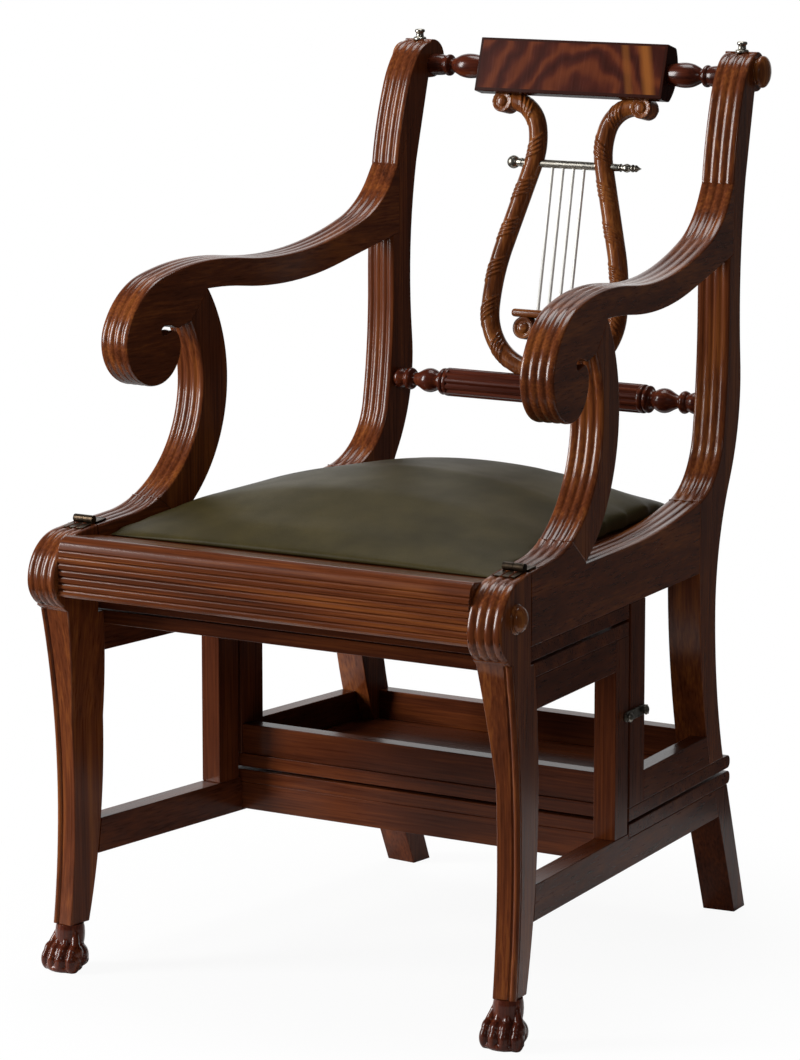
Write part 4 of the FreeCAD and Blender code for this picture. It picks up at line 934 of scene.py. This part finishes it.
@dataclass
class CrestTablet:
    """The veneered tablet between the uprights."""

    shop: Workshop
    half: float = 111.0
    face: float = 57.0
    lean: float = math.radians(16.0)
    border: float = 3.2

    def build(self) -> None:
        """Ease the tablet's edges and veneer it."""
        tablet = self.shop.ease(self.shop.copy("crest_tablet", "crest_tablet_veneered"))
        low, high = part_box("crest_tablet")
        veneer = FlameVeneer().material((low + high) / 2, self.lean, self.half, self.face, self.border)
        dress(tablet, veneer, Body.UPPER, "flame_mahogany", "crest_tablet")


@dataclass
class Lyre:
    """The lyre in the back: two carved arms, a bridge with volutes, a metal crossbar and strings."""

    foot: float = 20.0
    foot_half: float = 14.0
    bowl: float = 62.0
    flank: float = 240.0
    flank_angle: float = 16.0
    waist: float = 75.0
    waist_angle: float = 30.0
    shoulder: float = 34.0
    radius: float = 10.0
    volute: float = 11.6
    volute_shift: float = 0.7
    volute_inset: float = 1.0
    crossbar_rise: float = 235.0
    string_radius: float = 1.7
    string_spacing: float = 12.5
    string_count: int = 4
    string_low: float = 1.0
    string_high: float = 2.0
    bridge_top: float = 82.0
    bridge_half: float = 46.0
    bridge_cap: float = 8.5
    bridge_depth: float = 20.0
    bridge_volute: float = 12.0
    bridge_volute_x: float = 30.0
    bridge_inset: float = 0.8
    bridge_overlap: float = 1.0
    cap_soft: float = 3.6
    stem_soft: float = 2.0
    stem_start: float = 0.7
    stem_overlap: float = 2.0
    leaf_gap: float = 44.0
    leaf_cuts: int = 4
    leaf_steps: int = 16
    leaf_pitch: float = 4.8
    leaf_run: float = 26.0
    leaf_turn: float = 3.6
    leaf_sink: float = 0.2
    leaf_thin: float = 0.3
    leaf_swell: float = 1.2
    eye_rise: float = 2.2
    voxel: float = 0.8
    crossbar: Sequence[Point] = (
        (-73.0, 0.1), (-72.4, 3.0), (-70.0, 5.6), (-66.0, 7.0), (-62.0, 5.6), (-59.6, 3.2), (-58.4, 2.8),
        (-57.0, 4.6), (-55.0, 4.6), (-53.5, 4.2), (50.0, 4.2), (58.0, 2.6), (60.0, 2.4), (61.0, 4.0),
        (62.0, 4.2), (63.0, 2.8), (66.0, 3.8), (69.0, 4.6), (72.0, 3.6), (74.0, 2.4), (75.0, 3.8),
        (76.5, 3.9), (77.5, 2.4), (79.0, 3.6), (80.5, 3.4), (82.0, 2.2), (86.0, 0.1))
    # A volute's eye: place along its axis, as a share of its rise, and share of the volute's radius.
    eye: Sequence[Point] = ((0.0, 0.98), (0.35, 0.92), (0.4, 0.72), (0.1, 0.6), (0.15, 0.5), (0.9, 0.42),
                            (1.2, 0.2), (1.25, 0.01))

    def __post_init__(self) -> None:
        """Find the lyre's leaning plane from the crest and the stay rail."""
        low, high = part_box("lyre_strings")
        axis = Vector((0, high.y - low.y, high.z - low.z))
        self.lean = math.atan2(axis.y, axis.z)
        low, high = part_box("stay_rail")
        base = Vector((0, (low.y + high.y) / 2, (low.z + high.z) / 2))
        self.place = Matrix.Translation(base) @ Matrix.Rotation(-self.lean, 4, "X")
        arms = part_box("lyre_arm_right")
        self.reach = ((arms[1].z - base.z) / math.cos(self.lean)) / MM

    def path(self, sign: int, step: float = 3.0) -> list[Point]:
        """Walk along one arm's middle line in the lyre's plane.

        Args:
            sign: Minus one for the left arm, one for the right.
            step: The length of a step, in millimetres.

        Returns:
            Points across and up from the stay rail's axis, in millimetres.
        """
        flank, waist = math.radians(self.flank_angle), math.radians(self.flank_angle - self.waist_angle)
        bends = self.waist * (math.sin(flank) - math.sin(waist)) + self.shoulder * (1 + math.sin(waist))
        low = self.foot + self.bowl + self.flank * math.sin(flank)
        run = (self.reach - self.radius - low - bends) / math.cos(flank)
        last = -(90 + self.flank_angle - self.waist_angle)
        turns = ((0.0, self.foot_half), (self.bowl, 90.0), (self.flank, self.flank_angle), (0.0, run),
                 (self.waist, -self.waist_angle), (self.shoulder, last))
        x, y, heading = 0.0, self.foot, 0.0
        line = [(x, y)]
        for bend, amount in turns:
            length = abs(math.radians(amount)) * bend if bend else amount
            count = max(2, round(length / step))
            for _ in range(count):
                swing = math.radians(amount) / count if bend else 0.0
                heading += swing / 2
                x += math.cos(heading) * length / count
                y += math.sin(heading) * length / count
                heading += swing / 2
                line.append((x, y))
        return [(sign * px, py) for px, py in line]

    def at(self, x: float, y: float) -> Vector:
        """A point of the lyre's plane in the chair's frame, in metres."""
        return self.place @ (Vector((x, 0, y)) * MM)

    def axes(self, x: float, y: float) -> Matrix:
        """The lyre's axes at a point of its plane."""
        return Matrix.Translation(self.at(x, y)) @ Matrix.Rotation(-self.lean, 4, "X")

    def leaves(self, line: Sequence[Point], sign: int) -> list[Object]:
        """Carve bunches of slanting leaf cuts round an arm, as raised ribs.

        Args:
            line: The arm's middle line.
            sign: The arm's side.

        Returns:
            The ribs.
        """
        lengths = [0.0]
        for a, b in zip(line, line[1:]):
            lengths.append(lengths[-1] + math.dist(a, b))
        ribs = []
        start = self.leaf_gap
        while start < lengths[-1] - self.leaf_gap:
            for cut in range(self.leaf_cuts):
                ribs.append(self.rib(line, lengths, start + cut * self.leaf_pitch, sign))
            start += self.leaf_gap
        return ribs

    def rib(self, line: Sequence[Point], lengths: Sequence[float], start: float, sign: int) -> Object:
        """Wind one rib of a leaf round an arm.

        Args:
            line: The arm's middle line.
            lengths: How far along the arm each of its points is, in millimetres.
            start: Where the rib begins along the arm, in millimetres.
            sign: The arm's side.

        Returns:
            The rib.
        """
        points = []
        radii = []
        for step in range(self.leaf_steps + 1):
            share = step / self.leaf_steps
            along = start + share * self.leaf_run
            index = min(range(len(lengths)), key=lambda i: abs(lengths[i] - along))
            index = min(max(index, 1), len(line) - 2)
            a, b = line[index - 1], line[index + 1]
            left = Vector((a[1] - b[1], 0, b[0] - a[0])).normalized()
            middle = Vector((line[index][0], 0, line[index][1]))
            middle += Vector((b[0] - a[0], 0, b[1] - a[1])).normalized() * (along - lengths[index])
            angle = sign * (share * self.leaf_turn - self.leaf_turn / 2) - math.pi / 2
            ring = left * math.cos(angle) + Vector((0, 1, 0)) * math.sin(angle)
            points.append(self.place @ ((middle + ring * (self.radius - self.leaf_sink)) * MM))
            radii.append(self.leaf_thin + self.leaf_swell * math.sin(math.pi * share))
        return tube("leaf", points, radii, resolution=2)

    def drum(self, name: str, x: float, y: float, radius: float, half: float) -> Object:
        """A volute: a short drum across the lyre's plane with a ringed eye on each face.

        Args:
            name: The piece's name.
            x: Its middle across.
            y: Its middle up.
            radius: Its radius.
            half: Half its length, all in millimetres.

        Returns:
            The volute.
        """
        profile = [(half + share * self.eye_rise, radius * ring) for share, ring in self.eye]
        whole = [(-along, ring) for along, ring in reversed(profile)] + profile
        place = self.axes(x, y) @ Matrix.Rotation(math.pi / 2, 4, "Z")
        return turned(name, whole, place, sides=32, steps=2)

    def arm(self, side: str) -> None:
        """Build and dress one carved arm.

        Args:
            side: Left or right.
        """
        sign = SIDES[side]
        line = self.path(sign)
        bar = tube(f"lyre_arm_{side}_carved", [self.at(*p) for p in line], [self.radius] * len(line),
                   resolution=6)
        x, y = line[-1]
        eye = self.drum("volute", x + sign * self.volute * self.volute_shift,
                        y + self.radius - self.volute, self.volute, self.radius - self.volute_inset)
        piece = join(f"lyre_arm_{side}_carved", [bar, eye, *self.leaves(line, sign)])
        reskin(piece, self.voxel, passes=1)
        smooth(piece, degrees=60)
        # The arm's lighter mahogany is partly painted highlight on the carving.
        dress(piece, HIGHLIGHT_PAINTED_WOOD.material(Grain.UPRIGHT), Body.UPPER, "mahogany", f"lyre_arm_{side}")

    def block(self, low: Vector, high: Vector, soft: float) -> Object:
        """A box in the lyre's plane with rounded edges.

        Args:
            low: Its lowest corner: across, out and up, in millimetres.
            high: Its highest corner.
            soft: The radius of its edges, in millimetres.

        Returns:
            The box.
        """
        bpy.ops.object.select_all(action="DESELECT")
        bpy.ops.mesh.primitive_cube_add(size=1.0)
        obj = bpy.context.object
        middle = (low + high) / 2 * MM
        size = Matrix.Diagonal((*((high - low) * MM), 1))
        obj.matrix_world = self.place @ Matrix.Translation(middle) @ size
        apply_place(obj)
        apply_modifier(obj, "BEVEL", {"width": soft * MM, "segments": 4, "limit_method": "NONE"})
        smooth(obj, degrees=40)
        return obj

    def build(self) -> None:
        """Build the arms, bridge, crossbar and strings."""
        for side in SIDES:
            self.arm(side)
        depth = self.bridge_depth / 2
        under = self.bridge_top - self.bridge_cap
        inset = depth * self.bridge_inset
        cap = self.block(Vector((-self.bridge_half, -depth, under)),
                         Vector((self.bridge_half, depth, self.bridge_top)), self.cap_soft)
        stem = self.block(Vector((-self.foot_half, -inset, self.foot + self.radius * self.stem_start)),
                          Vector((self.foot_half, inset, under + self.stem_overlap)), self.stem_soft)
        hang = under - self.bridge_volute + self.bridge_overlap
        volutes = [self.drum("volute", sign * self.bridge_volute_x, hang, self.bridge_volute, inset)
                   for sign in SIDES.values()]
        bridge = [cap, stem, *volutes]
        # The bridge's lighter mahogany is partly painted highlight on the carving.
        dress_wood("lyre_bridge_carved", bridge, HIGHLIGHT_PAINTED_WOOD, Grain.ACROSS, Body.UPPER, "lyre_bridge")
        bar = turned("lyre_crossbar_turned", self.crossbar, self.axes(0, self.crossbar_rise),
                     sides=28, steps=3)
        dress(bar, PEWTER.material(), Body.UPPER, "pewter", "lyre_crossbar")
        strings = []
        for index in range(self.string_count):
            x = (index - (self.string_count - 1) / 2) * self.string_spacing
            ends = [self.at(x, self.bridge_top - self.string_low),
                    self.at(x, self.crossbar_rise - self.string_high)]
            strings.append(tube("string", ends, [self.string_radius] * 2))
        # The strings' near-white colour is a painted reflection of the white surround.
        dress(join("lyre_strings_drawn", strings), WIRE_PAINTED_REFLECTION.material(), Body.UPPER, "pewter", "lyre_strings")


@dataclass
class PawFeet:
    """The carved paws under the front legs: four toes, knuckles, tendons to the ankle, and a heel."""

    ankle: float = 46.0
    middle_x: float = 6.25
    middle_depth: float = -27.3
    # Palm, heel, sole and ankle: how far behind the paw's middle, how high, and their half sizes.
    masses: tuple[tuple[float, float, Place], ...] = (
        (2.0, 14.0, (20.5, 20.0, 16.5)), (12.0, 9.0, (16.0, 10.0, 9.5)),
        (-5.0, 4.0, (20.0, 16.5, 6.5)), (5.0, 36.0, (14.6, 15.2, 27.0)))
    toes: Sequence[float] = (-1.5, -0.5, 0.5, 1.5)
    toe_pitch: float = 10.6
    toe_depth: float = -14.5
    toe_step: float = 3.4
    toe_height: float = 10.0
    toe_size: Place = (6.3, 9.4, 11.5)
    knuckle_pull: float = 0.97
    knuckle_back: float = 4.0
    knuckle_height: float = 18.0
    knuckle_size: Place = (6.2, 9.8, 9.5)
    tendon_pull: float = 0.42
    tendon_back: float = 7.0
    tendon_foot: float = 20.0
    tendon_rise: float = 25.0
    tendon: Sequence[float] = (5.6, 4.6, 3.6, 2.8, 2.0)
    voxel: float = 0.8

    def axes(self, side: str, x: float, depth: float, height: float) -> Matrix:
        """The paw's axes at one of its points, counted from its middle on the floor, in millimetres."""
        return side_frame(side, SIDES[side] * self.middle_x + x, self.middle_depth + depth, height)

    def ball(self, side: str, x: float, depth: float, height: float, size: Place) -> Object:
        """An egg-shaped lump of the carving.

        Args:
            side: Left or right.
            x: Across, from the paw's middle.
            depth: Behind the paw's middle.
            height: Above the floor.
            size: Its half sizes across, in depth and in height, all in millimetres.

        Returns:
            The lump.
        """
        bpy.ops.object.select_all(action="DESELECT")
        bpy.ops.mesh.primitive_uv_sphere_add(segments=24, ring_count=16, radius=1.0)
        obj = bpy.context.object
        obj.matrix_world = self.axes(side, x, depth, height) @ Matrix.Diagonal((*(Vector(size) * MM), 1))
        apply_place(obj)
        return obj

    def build(self) -> None:
        """Carve both paws."""
        for side in SIDES:
            lumps = [self.ball(side, 0.0, depth, height, size) for depth, height, size in self.masses]
            tendons = []
            for toe in self.toes:
                x = toe * self.toe_pitch
                tip = self.toe_depth + abs(toe) * self.toe_step
                knuckle = tip + self.knuckle_back
                lumps.append(self.ball(side, x, tip, self.toe_height, self.toe_size))
                lumps.append(self.ball(side, x * self.knuckle_pull, knuckle, self.knuckle_height,
                                       self.knuckle_size))
                shares = [step / (len(self.tendon) - 1) for step in range(len(self.tendon))]
                line = [self.axes(side, x * (1 - t * self.tendon_pull), knuckle + t * self.tendon_back,
                                  self.tendon_foot + t * self.tendon_rise).translation for t in shares]
                tendons.append(tube("tendon", line, self.tendon))
            paw = join(f"paw_foot_{side}_carved", [*lumps, *tendons])
            reskin(paw, self.voxel, passes=2)
            for height, keep_above in ((0.0, True), (self.ankle, False)):
                with editing(paw):
                    bpy.ops.mesh.bisect(plane_co=(0, 0, height * MM), plane_no=(0, 0, 1), use_fill=True,
                                        clear_inner=keep_above, clear_outer=not keep_above)
            smooth(paw, degrees=50)
            dress(paw, TURNED_WOOD.material(Grain.UPRIGHT), Body.BASE, "mahogany", f"paw_foot_{side}")


@dataclass
class Seat:
    """The drop-in seat: leather stretched over a sprung, crowned pad."""

    shop: Workshop
    voxel: float = 5.0
    pressure: float = 4.0
    frames: int = 20
    most_move: float = 2.5
    side_give: float = 0.3
    over_rail: float = -178.0
    fade: float = 70.0

    def build(self) -> None:
        """Puff the pad up with cloth pressure, cap its swelling and stretch leather over it."""
        pad = self.shop.copy("seat_cushion", "seat_leather")
        reskin(pad, self.voxel, passes=6)
        self.swell(pad)
        apply_modifier(pad, "SUBSURF", {"levels": 1, "render_levels": 1})
        smooth(pad, degrees=60)
        dress(pad, SeatLeather().material(), Body.UPPER, "leather", "seat_cushion")

    def swell(self, pad: Object) -> None:
        """Run the cloth and keep each point near where it began.

        The seat's frame holds the sides, and the front stays low, because folded it lies over the front rail.

        Args:
            pad: The remeshed pad.
        """
        rest = [v.co.copy() for v in pad.data.vertices]
        cloth = pad.modifiers.new("cloth", "CLOTH")
        cloth.settings.use_pressure = True
        cloth.settings.uniform_pressure_force = self.pressure
        cloth.settings.effector_weights.gravity = 0.0
        scene = bpy.context.scene
        for frame in range(1, self.frames + 1):
            scene.frame_set(frame)
        activate(pad)
        bpy.ops.object.modifier_apply(modifier=cloth.name)
        scene.frame_set(1)
        low, high = ([pick(co[axis] for co in rest) for axis in range(3)] for pick in (min, max))
        for vertex, start in zip(pad.data.vertices, rest):
            move = vertex.co - start
            if move.length > self.most_move * MM:
                move *= self.most_move * MM / move.length
            for axis in (0, 1):
                place = start[axis] + move[axis] * self.side_give
                vertex.co[axis] = min(max(place, low[axis]), high[axis])
            clear = min(max((start.y / MM - self.over_rail) / self.fade, 0.0), 1.0)
            vertex.co.z = max(start.z + move.z * clear, low[2])


@dataclass
class Hardware:
    """The hinges, hooks, pins and studs."""

    shop: Workshop
    plate_arris: float = 0.3
    plate_ridge: float = 0.5
    stud_run: float = 10.0
    # Profiles: place along the axis and radius. The stud's run is stretched to its CAD node's height.
    stud: Sequence[Point] = (
        (0.0, 6.8), (1.2, 7.0), (2.4, 6.2), (3.0, 4.4), (5.0, 4.0), (6.5, 4.2), (7.2, 5.2), (8.6, 5.3),
        (9.6, 4.6), (10.0, 2.4), (10.0, 0.1))
    head: Sequence[Point] = ((-0.6, 3.4), (0.2, 4.6), (0.9, 4.8), (2.0, 4.0), (2.8, 2.4), (3.0, 0.1))

    def span(self, node: str, side: str) -> tuple[Vector, Vector]:
        """The box of one side's half of a paired node.

        Args:
            node: The CAD node.
            side: Left or right.

        Returns:
            Its lowest and highest corners, in metres.
        """
        own = [v.co for v in self.shop.nodes[node].data.vertices if v.co.x * SIDES[side] > 0]
        return (Vector([min(co[axis] for co in own) for axis in range(3)]),
                Vector([max(co[axis] for co in own) for axis in range(3)]))

    def heads(self, node: str) -> list[Object]:
        """Turn a domed head for the outer end of each pin of a paired node."""
        made = []
        for side, sign in SIDES.items():
            low, high = self.span(node, side)
            outer = Vector((high.x if sign > 0 else low.x, (low.y + high.y) / 2, (low.z + high.z) / 2))
            turn = sign * TAPER if sign > 0 else sign * TAPER + math.pi
            place = Matrix.Translation(outer) @ Matrix.Rotation(turn, 4, "Z")
            made.append(turned("head", self.head, place, sides=24, steps=3))
        return made

    def build(self) -> None:
        """Ease the metal plates, and turn the heads of the hooks' pins and the studs."""
        fine = Workshop(self.shop.nodes, arris=self.plate_arris, ridge=self.plate_ridge)
        plates = (("hinge_base_leaves", Body.BASE, BRONZE), ("hinge_upper_leaves", Body.UPPER, BRONZE),
                  ("hook_left", Body.HOOK_LEFT, STEEL), ("hook_right", Body.HOOK_RIGHT, STEEL),
                  ("hook_pivots", Body.BASE, STEEL), ("hook_catches", Body.UPPER, STEEL))
        for name, body, metal in plates:
            plate = fine.ease(fine.copy(name, f"{name}_metal"))
            if metal is STEEL and body in (Body.BASE, Body.UPPER):
                plate = join(plate.name, [plate, *self.heads(name)])
            dress(plate, metal.material(), body, "bronze", name)
        studs = []
        for side in SIDES:
            low, high = self.span("glide_studs", side)
            points = [(along / self.stud_run * (high.z - low.z) / MM, radius) for along, radius in self.stud]
            foot = Vector(((low.x + high.x) / 2, (low.y + high.y) / 2, low.z))
            place = Matrix.Translation(foot) @ Matrix.Rotation(-math.pi / 2, 4, "Y")
            studs.append(turned("stud", points, place, sides=28, steps=2))
        dress(join("glide_studs_turned", studs), PEWTER.material(), Body.UPPER, "pewter", "glide_studs")


@dataclass
class Studio:
    """A plain pale floor, soft lamps and the photograph's camera, placed in metres."""

    lens: float = 148.08
    sensor: float = 36.0
    eye: Place = (2.2322, -3.6575, 1.1894)
    azimuth: float = math.radians(31.78)
    elevation: float = math.radians(10.13)
    floor_size: float = 1.3
    floor_near: float = 0.25
    floor_far: float = 0.62
    floor_white: float = 0.93
    floor_grit: float = 3.0
    backdrop: Place = (-0.52, 0.84, 0.15)
    backdrop_edge: Point = (0.75, 0.96)
    dim: float = 0.12
    dim_gloss: float = 0.05
    aim: Place = (0.0, 0.0, 0.5)
    # Each lamp's name, place, width and height, and power in watts.
    lamps: Sequence[tuple[str, Place, Point, float]] = (
        ("key_softbox", (-2.7, -2.1, 1.5), (0.9, 2.0), 150.0),
        ("fill_softbox", (2.5, -2.6, 2.0), (0.4, 0.4), 8.0),
        ("top_softbox", (-0.4, 0.6, 3.0), (1.2, 1.2), 34.0))

    def floor(self) -> None:
        """Lay the floor: matt white near the chair, and plain white to the camera far from it."""
        bpy.ops.object.select_all(action="DESELECT")
        bpy.ops.mesh.primitive_plane_add(size=self.floor_size)
        plane = bpy.context.object
        plane.name = "studio_floor"
        material, tree, shader, place = new_material("matt_white_floor")
        grit = add_node(tree, "TexNoise", {"Vector": place, "Scale": 1 / (self.floor_grit * MM)})
        tint = add_node(tree, "ValToRGB", {"Fac": grit.outputs["Fac"]}, [(0.0, "#f6f6f5"), (1.0, "#fbfbfa")])
        feed(shader, {"Base Color": tint.outputs["Color"], "Roughness": 0.9, "Specular IOR Level": 0.1})
        away = add_node(tree, "VectorMath", {"operation": "LENGTH", 0: place})
        far = add_node(tree, "MapRange", {
            "interpolation_type": "SMOOTHSTEP", "Value": away.outputs["Value"], "From Min": self.floor_near,
            "From Max": self.floor_far, "To Min": self.floor_white, "To Max": 1.0})
        rays = add_node(tree, "LightPath").outputs
        seen = add_node(tree, "Math", {"operation": "MULTIPLY", 0: rays["Is Camera Ray"], 1: far.outputs[0]})
        white = add_node(tree, "Emission", {"Strength": 1.0})
        mix = add_node(tree, "MixShader", {0: seen.outputs[0], 1: shader.outputs[0], 2: white.outputs[0]})
        feed(tree.nodes["Material Output"], {"Surface": mix.outputs[0]})
        plane.data.materials.append(material)

    def world(self) -> None:
        """Light the surround: white to the camera and in reflections of the backdrop, and dim elsewhere."""
        world = bpy.data.worlds.new("studio_white")
        bpy.context.scene.world = world
        world.use_nodes = True
        tree = world.node_tree
        tree.nodes.clear()
        rays = add_node(tree, "LightPath").outputs
        way = add_node(tree, "TexCoord").outputs["Generated"]
        behind = add_node(tree, "VectorMath", {"operation": "DOT_PRODUCT", 0: way, 1: self.backdrop})
        lit = add_node(tree, "MapRange", {
            "interpolation_type": "SMOOTHSTEP", "Value": behind.outputs["Value"],
            "From Min": self.backdrop_edge[0], "From Max": self.backdrop_edge[1]})
        mirrored = add_node(tree, "Math", {"operation": "MAXIMUM", 0: rays["Is Glossy Ray"],
                                           1: rays["Is Transmission Ray"]})
        gloss = add_node(tree, "Math", {"operation": "MULTIPLY", 0: mirrored.outputs[0], 1: lit.outputs[0]})
        seen = add_node(tree, "Math", {"operation": "MAXIMUM", 0: rays["Is Camera Ray"], 1: gloss.outputs[0]})
        level = add_node(tree, "MapRange", {"Value": rays["Is Glossy Ray"], "To Min": self.dim,
                                            "To Max": self.dim_gloss})
        dim = add_node(tree, "Background", {"Color": (1, 1, 1, 1), "Strength": level.outputs[0]})
        white = add_node(tree, "Background", {"Color": (1, 1, 1, 1), "Strength": 1.0})
        mix = add_node(tree, "MixShader", {0: seen.outputs[0], 1: dim.outputs[0], 2: white.outputs[0]})
        add_node(tree, "OutputWorld", {"Surface": mix.outputs[0]})

    def lamp(self, name: str, place: Place, size: Point, power: float) -> None:
        """Hang a soft lamp that looks at the seat.

        Args:
            name: The lamp's name.
            place: Where it hangs, in metres.
            size: Its width and height, in metres.
            power: Its power, in watts.
        """
        bpy.ops.object.light_add(type="AREA", location=place)
        lamp = bpy.context.object
        lamp.name = name
        lamp.data.shape = "RECTANGLE"
        lamp.data.size, lamp.data.size_y = size
        lamp.data.energy = power
        lamp.rotation_euler = (Vector(self.aim) - Vector(place)).to_track_quat("-Z", "Y").to_euler()

    def camera(self) -> None:
        """Set up the camera at the photograph's viewpoint."""
        bpy.ops.object.camera_add(location=self.eye)
        camera = bpy.context.object
        camera.name = "photo_camera"
        look = Vector((-math.sin(self.azimuth) * math.cos(self.elevation),
                       math.cos(self.azimuth) * math.cos(self.elevation), -math.sin(self.elevation)))
        camera.rotation_euler = look.to_track_quat("-Z", "Y").to_euler()
        camera.data.lens = self.lens
        camera.data.sensor_width = self.sensor
        bpy.context.scene.camera = camera

    def build(self) -> None:
        """Set the stage."""
        self.floor()
        self.world()
        for lamp in self.lamps:
            self.lamp(*lamp)
        self.camera()
        bpy.context.scene.view_settings.view_transform = "Standard"


def main() -> None:
    """Build the chair's looks around its frame, piece by piece."""
    logging.basicConfig(level=logging.INFO, format="%(name)s: %(message)s")
    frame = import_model()
    shop = Workshop(frame["nodes"])
    for assembly in (SideFrames(shop), Steps(shop), TurnedWork(), CrestTablet(shop), Lyre(), PawFeet(),
                     Seat(shop), Hardware(shop), Studio()):
        assembly.build()
        LOG.info("built %s", type(assembly).__name__)


if __name__ == "__main__":
    main()
